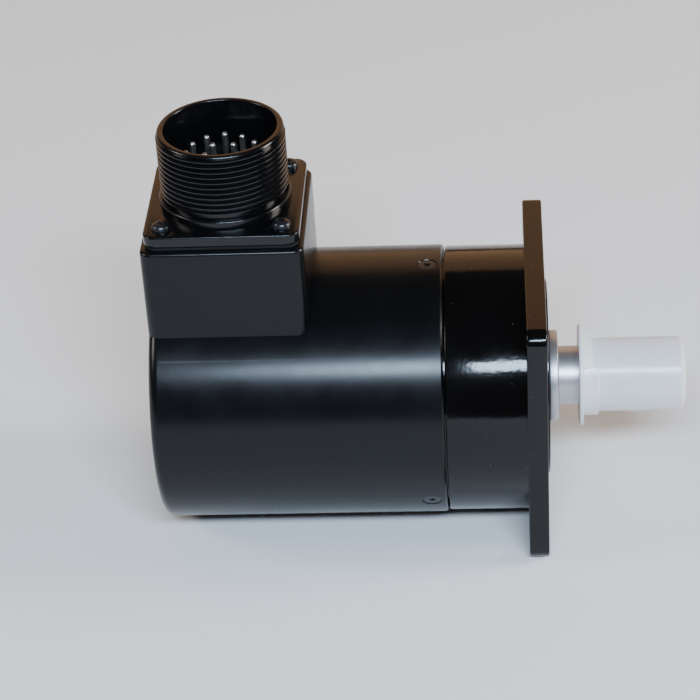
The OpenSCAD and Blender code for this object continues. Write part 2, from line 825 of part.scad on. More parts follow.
module wire_harness() color([0.5, 0.15, 0.12]) {
    cone_z = pin_tail_z - fan_h;
    translate([-box_x, 0, cone_z]) cylinder(h = fan_h, d1 = bundle_d, d2 = 2 * pin_ring_outer);
    translate([-box_x, 0, bend_r]) cylinder(h = cone_z - bend_r, d = bundle_d);
    intersection() {
        translate([-box_x + bend_r, 0, bend_r]) rotate([90, 0, 0]) rotate_extrude()
            translate([bend_r, 0]) circle(d = bundle_d);
        translate([-box_x - bundle_d, -bundle_d, -bundle_d])
            cube([bundle_d + bend_r, 2 * bundle_d, bundle_d + bend_r]);
    }
    rod(-box_x + bend_r, board_back - header_t, bundle_d);
}

module cap_profile() {
    outer = cap_d / 2;
    square_end = cap_tip - cap_edge;
    translate([0, cap_start]) square([lip_d / 2, lip_t]);
    translate([0, cap_start]) square([outer, square_end - cap_start]);
    translate([0, cap_start]) square([outer - cap_edge, cap_tip - cap_start]);
    intersection() {
        translate([outer - cap_edge, square_end]) circle(r = cap_edge);
        translate([0, square_end - eps]) square([outer, cap_edge + eps]);
    }
}

// The sector above the flare's ends, as a wedge along X
module top_sector() {
    reach = lip_d;
    translate([cap_start - over, 0, 0]) rotate([90, 0, 90])
        linear_extrude(height = lip_t + flare_len + base_len + 2 * over)
            polygon([
                [0, 0],
                [reach, reach * tan(flare_angle)],
                [reach, 2 * reach],
                [-reach, 2 * reach],
                [-reach, reach * tan(flare_angle)]
            ]);
}

module shaft_cap() color([0.9, 0.9, 0.88]) {
    difference() {
        union() {
            rotate([0, 90, 0]) rotate_extrude() cap_profile();
            intersection() {
                translate([cap_start + lip_t - eps, 0, 0]) rotate([0, 90, 0])
                    cylinder(h = flare_len - lip_t + eps, d1 = lip_d - 2 * flare_step, d2 = cap_d);
                top_sector();
            }
            difference() {
                rod(cap_start, cap_start + lip_t + base_len, base_d);
                top_sector();
            }
        }
        rod(cap_start - over, cap_bore_end, shaft_d + 2 * cap_gap);
    }
}

flange_housing();
rear_cover();
cover_seal();
cover_screws();
connector_gasket();
connector_shell();
connector_insert();
insert_retaining_ring();
connector_pins();
connector_screws();
shaft();
slinger_collar();
shaft_seal();
front_bearing_outer();
front_bearing_inner();
front_bearing_balls();
front_bearing_cage();
rear_bearing_outer();
rear_bearing_inner();
rear_bearing_balls();
rear_bearing_cage();
bearing_spacer();
preload_washer();
bearing_retaining_ring();
disk_hub();
code_disk();
disk_clamp();
disk_clamp_screws();
led_holder();
led_emitter();
index_mask();
sensor_holder();
main_board();
board_standoffs();
board_screws();
board_parts();
wire_harness();
shaft_cap();
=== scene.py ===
"""Looks of the flange-mounted rotary encoder: visible pieces, finishes, studio and camera."""

import logging
import math
from dataclasses import dataclass
from enum import Enum
from typing import Callable, Iterable, Sequence

import bmesh
import bpy
from mathutils import Matrix, Vector

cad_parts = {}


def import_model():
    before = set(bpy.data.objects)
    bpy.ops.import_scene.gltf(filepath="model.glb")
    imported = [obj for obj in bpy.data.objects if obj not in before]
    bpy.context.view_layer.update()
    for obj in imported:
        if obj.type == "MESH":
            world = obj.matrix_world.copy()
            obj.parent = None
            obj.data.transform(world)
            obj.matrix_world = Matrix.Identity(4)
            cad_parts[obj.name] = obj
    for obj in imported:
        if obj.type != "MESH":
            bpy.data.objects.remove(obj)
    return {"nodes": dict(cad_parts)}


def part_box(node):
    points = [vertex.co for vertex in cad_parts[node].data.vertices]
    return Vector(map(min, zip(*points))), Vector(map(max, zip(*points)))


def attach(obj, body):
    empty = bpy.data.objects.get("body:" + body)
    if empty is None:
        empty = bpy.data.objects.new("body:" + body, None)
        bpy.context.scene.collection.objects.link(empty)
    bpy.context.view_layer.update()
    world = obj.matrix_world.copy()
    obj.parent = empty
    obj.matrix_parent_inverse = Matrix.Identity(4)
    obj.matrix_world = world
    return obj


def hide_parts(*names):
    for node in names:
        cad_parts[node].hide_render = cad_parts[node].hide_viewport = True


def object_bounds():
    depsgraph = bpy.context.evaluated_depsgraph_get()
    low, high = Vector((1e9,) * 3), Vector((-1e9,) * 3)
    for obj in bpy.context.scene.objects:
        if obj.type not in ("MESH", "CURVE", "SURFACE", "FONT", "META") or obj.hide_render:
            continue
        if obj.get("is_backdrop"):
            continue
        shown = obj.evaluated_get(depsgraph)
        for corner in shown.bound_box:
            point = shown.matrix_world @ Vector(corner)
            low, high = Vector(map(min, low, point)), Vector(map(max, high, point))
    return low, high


LOG = logging.getLogger("encoder")
MM = 0.001
TURN = 2 * math.pi
WELD = 1e-6  # vertices closer than this become one, in metres
SLIVER = 1e-7  # edges shorter than this go, in metres
LEVEL = 1e-5  # heights closer than this count as the same, in metres
STRAIGHT = 0.999  # least cosine between an edge and the axis that it runs along
CORNER_RAD = 1.0  # least angle between two faces whose edge counts as a corner
SMOOTH_DEG = 32.0  # edges sharper than this stay sharp
DRILL_STEPS = 48
WIDE_DRILL_STEPS = 96
COVER_SCREW_DEG = (0, 120, 240)
Point = tuple[float, float]


class Axis(Enum):
    """The axis that a turned piece is spun about."""

    SHAFT = "x"
    CONNECTOR = "z"


class Lay(Enum):
    """How the tool marks run on a surface."""

    NONE = "none"
    TURNED = "turned"
    BRUSHED = "brushed"


# ---------------------------------------------------------------- finishes


def linear(colour: str) -> tuple[float, float, float, float]:
    """Turns an sRGB hex colour to linear RGBA.

    Args:
        colour: six hex digits after a hash sign.

    Returns:
        Linear red, green, blue and an alpha of one.
    """
    parts = [int(colour[i : i + 2], 16) / 255 for i in (1, 3, 5)]
    low = [p / 12.92 if p <= 0.04045 else ((p + 0.055) / 1.055) ** 2.4 for p in parts]
    return (low[0], low[1], low[2], 1.0)


def add_node(tree: bpy.types.NodeTree, kind: str, links: dict | None = None, **settings) -> bpy.types.Node:
    """Adds a shader node with its settings and links.

    Args:
        tree: the material's node tree.
        kind: the node's type name.
        links: socket name or index to a value or to an output socket.
        settings: attributes of the node itself.

    Returns:
        The new node.
    """
    node = tree.nodes.new(kind)
    for name, value in settings.items():
        setattr(node, name, value)
    for socket, value in (links or {}).items():
        if isinstance(value, bpy.types.NodeSocket):
            tree.links.new(value, node.inputs[socket])
        else:
            node.inputs[socket].default_value = value
    return node


@dataclass(frozen=True)
class Finish:
    """A surface finish: what the material is and how its face was made.

    The pattern sizes are real ones in millimetres.
    """

    name: str
    colour: str
    shade: str
    roughness: float
    spread: float = 0.08
    metallic: float = 0.0
    ior: float = 1.5
    patch_mm: float = 9.0
    grain_mm: float = 0.35
    grain_height_mm: float = 0.004
    peel_mm: float = 0.0
    peel_height_mm: float = 0.0
    lay: Lay = Lay.NONE
    brush_stretch: float = 0.05
    coat: float = 0.0
    coat_roughness: float = 0.05
    transmission: float = 0.0
    subsurface: float = 0.0
    scatter_mm: float = 2.0
    dust: float = 0.0
    dust_colour: str = "#8f8b84"
    dust_apart_mm: float = 3.2

    def make(self) -> bpy.types.Material:
        """Builds the material, once for each finish.

        Returns:
            The material, shared by every piece of this finish.
        """
        found = bpy.data.materials.get(self.name)
        if found is not None:
            return found
        material = bpy.data.materials.new(self.name)
        material.use_nodes = True
        tree = material.node_tree
        shader = tree.nodes["Principled BSDF"]
        place = add_node(tree, "ShaderNodeTexCoord").outputs["Object"]
        broad = {"Vector": place, "Scale": 1 / (self.patch_mm * MM), "Detail": 5.0}
        patches = add_node(tree, "ShaderNodeTexNoise", broad).outputs[0]
        fine = {"Vector": self._grain_place(tree, place), "Scale": 1 / (self.grain_mm * MM), "Detail": 3.0}
        grain = add_node(tree, "ShaderNodeTexNoise", fine).outputs[0]
        tone = add_node(
            tree,
            "ShaderNodeMix",
            {0: patches, 6: linear(self.colour), 7: linear(self.shade)},
            data_type="RGBA",
        ).outputs[2]
        if self.dust:
            tone = self._dusted(tree, place, tone)
        tree.links.new(tone, shader.inputs["Base Color"])
        dull, bright = self.roughness + self.spread, self.roughness - self.spread
        rough = add_node(
            tree, "ShaderNodeMapRange", {"Value": patches, "From Min": 0.3, "From Max": 0.7,
                                         "To Min": bright, "To Max": dull}
        )
        tree.links.new(rough.outputs[0], shader.inputs["Roughness"])
        self._relief(tree, place, grain, shader)
        shader.inputs["Metallic"].default_value = self.metallic
        if not self.metallic:
            shader.inputs["IOR"].default_value = self.ior
        shader.inputs["Coat Weight"].default_value = self.coat
        shader.inputs["Coat Roughness"].default_value = self.coat_roughness
        shader.inputs["Transmission Weight"].default_value = self.transmission
        shader.inputs["Subsurface Weight"].default_value = self.subsurface
        shader.inputs["Subsurface Scale"].default_value = self.scatter_mm * MM
        return material

    def _grain_place(self, tree: bpy.types.NodeTree, place: bpy.types.NodeSocket) -> bpy.types.NodeSocket:
        """Where the grain reads its pattern: stretched into rings or lines where a tool ran.

        Args:
            tree: the material's node tree.
            place: the object coordinates.

        Returns:
            The coordinates for the grain.
        """
        if self.lay is Lay.NONE:
            return place
        split = add_node(tree, "ShaderNodeSeparateXYZ", {0: place})
        if self.lay is Lay.BRUSHED:
            stretch = {0: split.outputs[0], 1: self.brush_stretch}
            along = add_node(tree, "ShaderNodeMath", stretch, operation="MULTIPLY").outputs[0]
            return add_node(
                tree, "ShaderNodeCombineXYZ", {0: along, 1: split.outputs[1], 2: split.outputs[2]}
            ).outputs[0]
        across = add_node(tree, "ShaderNodeCombineXYZ", {1: split.outputs[1], 2: split.outputs[2]})
        radius = add_node(tree, "ShaderNodeVectorMath", {0: across.outputs[0]}, operation="LENGTH")
        return add_node(
            tree, "ShaderNodeCombineXYZ", {0: split.outputs[0], 1: radius.outputs["Value"]}
        ).outputs[0]

    def _dusted(
        self, tree: bpy.types.NodeTree, place: bpy.types.NodeSocket, tone: bpy.types.NodeSocket
    ) -> bpy.types.NodeSocket:
        """Mixes fine pale dust specks, about 0.3 mm across, into the colour.

        Args:
            tree: the material's node tree.
            place: the object coordinates.
            tone: the colour below the dust.

        Returns:
            The dusted colour.
        """
        apart = self.dust_apart_mm * MM
        specks = add_node(tree, "ShaderNodeTexVoronoi", {"Vector": place, "Scale": 1 / apart})
        fade = {
            "Value": specks.outputs["Distance"], "From Min": 0.05, "From Max": 0.02,
            "To Min": 0.0, "To Max": self.dust,
        }
        near = add_node(tree, "ShaderNodeMapRange", fade)
        return add_node(
            tree,
            "ShaderNodeMix",
            {0: near.outputs[0], 6: tone, 7: linear(self.dust_colour)},
            data_type="RGBA",
        ).outputs[2]

    def _relief(
        self, tree: bpy.types.NodeTree, place: bpy.types.NodeSocket, grain: bpy.types.NodeSocket,
        shader: bpy.types.Node,
    ) -> None:
        """Adds the fine grain, and the slow orange peel where there is one.

        Args:
            tree: the material's node tree.
            place: the object coordinates.
            grain: the height of the fine grain.
            shader: the surface that it shapes.
        """
        fine = add_node(
            tree, "ShaderNodeBump", {"Height": grain, "Strength": 1.0, "Distance": self.grain_height_mm * MM}
        )
        if self.peel_mm:
            wavy = {"Vector": place, "Scale": 1 / (self.peel_mm * MM), "Detail": 1.0}
            peel = add_node(tree, "ShaderNodeTexNoise", wavy).outputs[0]
            slow = add_node(
                tree,
                "ShaderNodeBump",
                {"Height": peel, "Strength": 1.0, "Distance": self.peel_height_mm * MM},
            )
            tree.links.new(slow.outputs[0], fine.inputs["Normal"])
        tree.links.new(fine.outputs[0], shader.inputs["Normal"])


# Glass-filled nylon, injection moulded: satin black with a soft haze over a shallow, even texture.
MOULDED_NYLON = Finish(
    "moulded_black_nylon", "#060709", "#0a0b0d", 0.25, 0.03, ior=1.34, grain_mm=0.5, grain_height_mm=0.003,
    peel_mm=4.0, peel_height_mm=0.008, dust=0.05,
)
# Baked enamel over a cast housing: a deep gloss with a slight orange peel and a few dust nibs.
BAKED_ENAMEL = Finish(
    "baked_black_enamel", "#040405", "#070708", 0.11, 0.03, ior=1.38, grain_mm=0.8, grain_height_mm=0.006,
    peel_mm=1.6, peel_height_mm=0.016, dust=0.35,
)
# Black electrophoretic paint on a die-cast shell: thin, glossy and rounded over the edges.
SHELL_PAINT = Finish(
    "painted_diecast_shell", "#060607", "#0b0b0d", 0.18, 0.05, ior=1.42, grain_mm=0.6, grain_height_mm=0.005,
    dust=0.1,
)
# Filled neoprene or phenolic insert, moulded: dull black.
INSERT_PHENOLIC = Finish("moulded_phenolic", "#0a0a0a", "#141414", 0.62, grain_mm=0.25, grain_height_mm=0.008)
# Silver-plated copper contact, drawn and tumbled: bright, with a faint warm stain.
PLATED_CONTACT = Finish(
    "silver_plated_copper", "#dcd9d4", "#b5b2aa", 0.32, 0.05, metallic=1.0, patch_mm=2.0, grain_mm=0.2,
    grain_height_mm=0.002,
)
# Turned free-cutting steel: rings of fine feed marks.
TURNED_STEEL = Finish(
    "turned_steel", "#c3c2c0", "#9b9a98", 0.24, 0.06, metallic=1.0, patch_mm=5.0, grain_mm=0.16,
    grain_height_mm=0.006, lay=Lay.TURNED,
)
# Low-density polyethylene, injection moulded: milky and soft, light passes through its wall.
POLYETHYLENE = Finish(
    "natural_polyethylene", "#fafbfd", "#ffffff", 0.24, 0.04, ior=1.51, patch_mm=14.0, grain_mm=0.9,
    grain_height_mm=0.004, peel_mm=5.0, peel_height_mm=0.012, transmission=0.22, subsurface=0.7,
)
# Black-oxide steel screw: dark, a little oily.
BLACK_OXIDE = Finish(
    "black_oxide_steel", "#2e2f32", "#45464a", 0.28, 0.08, metallic=0.8, patch_mm=2.0, grain_mm=0.25,
    grain_height_mm=0.006,
)
# Nitrile rubber, moulded: matte black with a faint bloom.
NITRILE = Finish("nitrile_rubber", "#0d0d0d", "#1a1a19", 0.72, grain_mm=0.3, grain_height_mm=0.012)
# Through-hardened bearing steel, ground and honed: a near mirror.
GROUND_STEEL = Finish(
    "ground_bearing_steel", "#cfcfd1", "#b4b4b8", 0.12, 0.04, metallic=1.0, patch_mm=4.0, grain_mm=0.1,
    grain_height_mm=0.001, lay=Lay.TURNED,
)
# Rolled spring steel strip, stamped: brushed along its length.
SPRING_STEEL = Finish(
    "rolled_spring_steel", "#8d8e92", "#6c6d70", 0.3, 0.08, metallic=1.0, grain_mm=0.2, grain_height_mm=0.004,
    lay=Lay.BRUSHED,
)
# Machined brass: warm, with ring marks.
MACHINED_BRASS = Finish(
    "machined_brass", "#c9a45a", "#a8823c", 0.28, 0.07, metallic=1.0, grain_mm=0.18, grain_height_mm=0.005,
    lay=Lay.TURNED,
)
# Turned aluminium, clear anodised: pale and satin.
ANODISED_ALUMINIUM = Finish(
    "clear_anodised_aluminium", "#c8cacd", "#b2b4b8", 0.34, 0.05, metallic=1.0, grain_mm=0.15,
    grain_height_mm=0.004, lay=Lay.TURNED,
)
# Float glass, polished: clear with the least tint.
POLISHED_GLASS = Finish(
    "polished_glass", "#e6f2f0", "#dfeeec", 0.04, 0.01, ior=1.52, grain_height_mm=0.0005, transmission=0.95,
)
# Epoxy lens, cast: clear and slightly warm.
CAST_EPOXY = Finish("cast_epoxy", "#efe9d8", "#e6dfc9", 0.1, 0.03, ior=1.54, transmission=0.7)
# Glass-epoxy laminate under green solder resist: the weave just shows.
GREEN_LAMINATE = Finish(
    "solder_resist_laminate", "#0f4a26", "#0b3a1e", 0.36, 0.06, ior=1.55, patch_mm=1.2, grain_mm=0.6,
    grain_height_mm=0.012, coat=0.3,
)
# Moulded epoxy component bodies: matte black.
MOULDED_EPOXY = Finish("moulded_epoxy", "#111112", "#1b1b1c", 0.55, grain_mm=0.2, grain_height_mm=0.01)
# Soft PVC wire insulation, extruded.
WIRE_PVC = Finish("extruded_pvc", "#7a1f1c", "#641815", 0.42, grain_mm=0.5, grain_height_mm=0.01)

CARRIED_OVER: dict[Finish, tuple[str, ...]] = {
    INSERT_PHENOLIC: ("connector_insert", "led_holder", "sensor_holder"),
    NITRILE: ("connector_gasket", "cover_seal", "shaft_seal"),
    GROUND_STEEL: (
        "front_bearing_outer", "front_bearing_inner", "front_bearing_balls",
        "rear_bearing_outer", "rear_bearing_inner", "rear_bearing_balls",
    ),
    MACHINED_BRASS: ("front_bearing_cage", "rear_bearing_cage", "board_standoffs"),
    TURNED_STEEL: ("bearing_spacer",),
    SPRING_STEEL: ("insert_retaining_ring", "preload_washer", "bearing_retaining_ring", "board_screws"),
    ANODISED_ALUMINIUM: ("disk_hub", "disk_clamp"),
    BLACK_OXIDE: ("disk_clamp_screws",),
    POLISHED_GLASS: ("code_disk", "index_mask"),
    CAST_EPOXY: ("led_emitter",),
    GREEN_LAMINATE: ("main_board",),
    MOULDED_EPOXY: ("board_parts",),
    WIRE_PVC: ("wire_harness",),
}


# ---------------------------------------------------------------- mesh tools


def arc(centre: Point, radius: float, start: float, stop: float, count: int = 6) -> list[Point]:
    """Points on an arc of a turned profile.

    Args:
        centre: place along the axis and distance from it, in mm.
        radius: the arc's radius in mm.
        start: first angle in degrees, 0 along the axis and 90 away from it.
        stop: last angle in degrees.
        count: how many steps.

    Returns:
        The points from start to stop.
    """
    angles = [math.radians(start + (stop - start) * i / count) for i in range(count + 1)]
    return [(centre[0] + radius * math.cos(a), centre[1] + radius * math.sin(a)) for a in angles]


def spin_profile(
    bm: bmesh.types.BMesh, outline: Sequence[Point], axis: Axis, centre: Vector, steps: int
) -> None:
    """Spins a closed outline into a turned solid.

    Args:
        bm: the mesh that receives it.
        outline: place along the axis and distance from it, in mm.
        axis: the axis of the spin.
        centre: a point on the axis, in metres.
        steps: segments round the turn.
    """
    along = Vector((1, 0, 0)) if axis is Axis.SHAFT else Vector((0, 0, 1))
    away = Vector((0, 0, 1)) if axis is Axis.SHAFT else Vector((1, 0, 0))
    verts = [bm.verts.new(centre + along * (a * MM) + away * (r * MM)) for a, r in outline]
    edges = [bm.edges.new((verts[i], verts[(i + 1) % len(verts)])) for i in range(len(verts))]
    bmesh.ops.spin(
        bm, geom=[*verts, *edges], cent=centre, axis=along, dvec=Vector(), angle=TURN, steps=steps,
        use_merge=True, use_duplicate=False,
    )


def block(bm: bmesh.types.BMesh, low: Vector, high: Vector) -> list[bmesh.types.BMVert]:
    """Adds a block.

    Args:
        bm: the mesh that receives it.
        low: its lowest corner, in metres.
        high: its highest corner, in metres.

    Returns:
        Its eight vertices.
    """
    place = Matrix.Translation((low + high) / 2) @ Matrix.Diagonal((*(high - low), 1))
    return bmesh.ops.create_cube(bm, size=1.0, matrix=place)["verts"]


def round_edges(
    bm: bmesh.types.BMesh, width_mm: float, segments: int, wanted: Callable[[bmesh.types.BMEdge], bool]
) -> None:
    """Rounds the chosen edges.

    Args:
        bm: the mesh.
        width_mm: the radius of the rounding.
        segments: steps across the rounding.
        wanted: says whether an edge is rounded.
    """
    chosen = [e for e in bm.edges if wanted(e)]
    bmesh.ops.bevel(
        bm, geom=chosen, offset=width_mm * MM, offset_type="OFFSET", affect="EDGES", segments=segments,
        profile=0.5, material=-1,
    )


def runs_along(edge: bmesh.types.BMEdge, axis: int) -> bool:
    """Says whether an edge runs along an axis.

    Args:
        edge: the edge.
        axis: 0, 1 or 2 for X, Y or Z.

    Returns:
        True if it does.
    """
    way = (edge.verts[1].co - edge.verts[0].co).normalized()
    return abs(way[axis]) > STRAIGHT


def is_corner(edge: bmesh.types.BMEdge) -> bool:
    """Says whether an edge is a sharp corner between two faces.

    Args:
        edge: the edge.

    Returns:
        True if it is.
    """
    return edge.is_manifold and edge.calc_face_angle() > CORNER_RAD


def piece(
    name: str, bm: bmesh.types.BMesh, finish: Finish, smooth_deg: float = SMOOTH_DEG
) -> bpy.types.Object:
    """Turns a bmesh into an object at the origin, closed, facing outwards and dressed.

    Args:
        name: the piece's name.
        bm: its mesh, which is freed.
        finish: its finish.
        smooth_deg: edges sharper than this stay sharp.

    Returns:
        The new object, linked to the scene.
    """
    bmesh.ops.remove_doubles(bm, verts=bm.verts, dist=WELD)
    bmesh.ops.dissolve_degenerate(bm, dist=SLIVER, edges=bm.edges)
    bmesh.ops.recalc_face_normals(bm, faces=bm.faces)
    for face in bm.faces:
        face.smooth = True
    mesh = bpy.data.meshes.new(name)
    bm.to_mesh(mesh)
    bm.free()
    mesh.set_sharp_from_angle(angle=math.radians(smooth_deg))
    mesh.materials.append(finish.make())
    made = bpy.data.objects.new(name, mesh)
    bpy.context.scene.collection.objects.link(made)
    return made


def combine(target: bpy.types.Object, cutters: Iterable[bpy.types.Object], operation: str) -> None:
    """Joins cutters to a piece or cuts them from it, and removes them.

    Args:
        target: the piece that is changed.
        cutters: closed solids.
        operation: UNION or DIFFERENCE.
    """
    for cutter in cutters:
        step = target.modifiers.new("combine", "BOOLEAN")
        step.operation = operation
        step.solver = "EXACT"
        step.object = cutter
        graph = bpy.context.evaluated_depsgraph_get()
        mesh = bpy.data.meshes.new_from_object(target.evaluated_get(graph))
        target.modifiers.remove(step)
        old = target.data
        target.data = mesh
        bpy.data.meshes.remove(old)
        spare = cutter.data
        bpy.data.objects.remove(cutter)
        bpy.data.meshes.remove(spare)
    for face in target.data.polygons:
        face.use_smooth = True
    target.data.set_sharp_from_angle(angle=math.radians(SMOOTH_DEG))


def seat(made: bpy.types.Object, body: str, slot: str, *nodes: str) -> None:
    """Rides a piece on its body in place of its CAD nodes, and reports it.

    Args:
        made: the piece.
        body: the record's body.
        slot: not used.
        nodes: the CAD nodes that it replaces.
    """
    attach(made, body)
    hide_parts(*nodes)
    LOG.info("%s: %d faces, rides on %s", made.name, len(made.data.polygons), body)


def drill(
    name: str, start: Vector, way: Vector, radii_mm: Sequence[Point], steps: int = DRILL_STEPS
) -> bpy.types.Object:
    """A round cutter with stepped or tapered radii.

    Args:
        name: the cutter's name.
        start: where it starts, in metres.
        way: its direction.
        radii_mm: distance from the start and radius there, in mm.
        steps: segments round it.

    Returns:
        The closed cutter.
    """
    bm = bmesh.new()
    outline = [(radii_mm[0][0], 0.0), *radii_mm, (radii_mm[-1][0], 0.0)]
    spin_profile(bm, outline, Axis.CONNECTOR, Vector(), steps)
    turn = Vector((0, 0, 1)).rotation_difference(way.normalized()).to_matrix().to_4x4()
    bmesh.ops.transform(bm, matrix=Matrix.Translation(start) @ turn, verts=bm.verts)
    return piece(name, bm, BLACK_OXIDE)


# ---------------------------------------------------------------- sub-assemblies


@dataclass
class MountingHousing:
    """The enamelled front housing: square plate, pilot, round body and the spigot inside the cover."""

    plate_mm: float = 68.0
    plate_thick_mm: float = 5.0
    corner_mm: float = 3.8
    edge_mm: float = 0.45
    hole_square_mm: float = 56.0
    hole_mm: float = 5.4
    pilot_mm: float = 50.0
    pilot_high_mm: float = 0.7
    body_mm: float = 67.8
    seam_mm: float = 25.0
    spigot_mm: float = 62.6
    seat_mm: float = 24.0
    seat_deep_mm: float = 3.8
    passage_mm: float = 20.0
    bearing_mm: float = 32.0
    bearing_front_mm: float = 6.0
    turned_edge_mm: float = 0.4
    pilot_edge_mm: float = 0.25
    seat_edge_mm: float = 0.3
    body_sink_mm: float = 1.0
    pilot_sink_mm: float = 0.6
    web_mm: float = 4.0
    overlap_mm: float = 2.0
    drill_from_mm: float = -12.0
    drill_long_mm: float = 20.0
    corner_steps: int = 14
    turn_steps: int = 192

    def plate(self) -> bpy.types.Object:
        """The square plate with its four holes and centre opening."""
        bm = bmesh.new()
        half = self.plate_mm / 2 * MM
        block(bm, Vector((-self.plate_thick_mm * MM, -half, -half)), Vector((0, half, half)))
        round_edges(bm, self.corner_mm, self.corner_steps, lambda e: runs_along(e, 0))
        round_edges(bm, self.edge_mm, 3, is_corner)
        made = piece("flange_housing_visual", bm, BAKED_ENAMEL)
        reach = self.hole_square_mm / 2 * MM
        start = self.drill_from_mm * MM
        long = self.drill_long_mm
        hole = self.hole_mm / 2
        centre = self.seat_mm / 2 + self.overlap_mm
        ahead = Vector((1, 0, 0))
        cutters = [
            drill("bolt_drill", Vector((start, sy * reach, sz * reach)), ahead, [(0, hole), (long, hole)])
            for sy in (-1, 1)
            for sz in (-1, 1)
        ]
        through = [(0, centre), (long, centre)]
        cutters.append(drill("centre_drill", Vector((start, 0, 0)), ahead, through, WIDE_DRILL_STEPS))
        combine(made, cutters, "DIFFERENCE")
        return made

    def barrel(self) -> bpy.types.Object:
        """The round body, the pilot in front of the plate and the bored inside, as one turned solid."""
        rear = -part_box("flange_housing")[0].x / MM
        body = self.body_mm / 2
        pilot = self.pilot_mm / 2
        seat_r = self.seat_mm / 2
        spigot = self.spigot_mm / 2
        passage = self.passage_mm / 2
        edge, rim, lip = self.turned_edge_mm, self.pilot_edge_mm, self.seat_edge_mm
        body_front = self.body_sink_mm - self.plate_thick_mm
        outline = [
            (-rear, self.bearing_mm / 2),
            (-rear, spigot - edge),
            (-rear + edge, spigot),
            (-self.seam_mm, spigot),
            *arc((-self.seam_mm + edge, body - edge), edge, 180, 90, 3),
            (body_front, body),
            (body_front, body - self.web_mm),
            (-self.pilot_sink_mm, pilot - self.overlap_mm),
            (-self.pilot_sink_mm, pilot),
            *arc((self.pilot_high_mm - rim, pilot - rim), rim, 90, 0, 3),
            *arc((self.pilot_high_mm - lip, seat_r + lip), lip, 0, -90, 3),
            (-self.seat_deep_mm, seat_r),
            (-self.seat_deep_mm, passage),
            (-self.bearing_front_mm, passage),
            (-self.bearing_front_mm, self.bearing_mm / 2),
        ]
        bm = bmesh.new()
        spin_profile(bm, outline, Axis.SHAFT, Vector(), self.turn_steps)
        return piece("flange_housing_barrel", bm, BAKED_ENAMEL)

    def build(self) -> None:
        """Makes the housing in place of its CAD node."""
        made = self.plate()
        combine(made, [self.barrel()], "UNION")
        made.data.materials.clear()
        made.data.materials.append(BAKED_ENAMEL.make())
        seat(made, "housing", "enamel", "flange_housing")


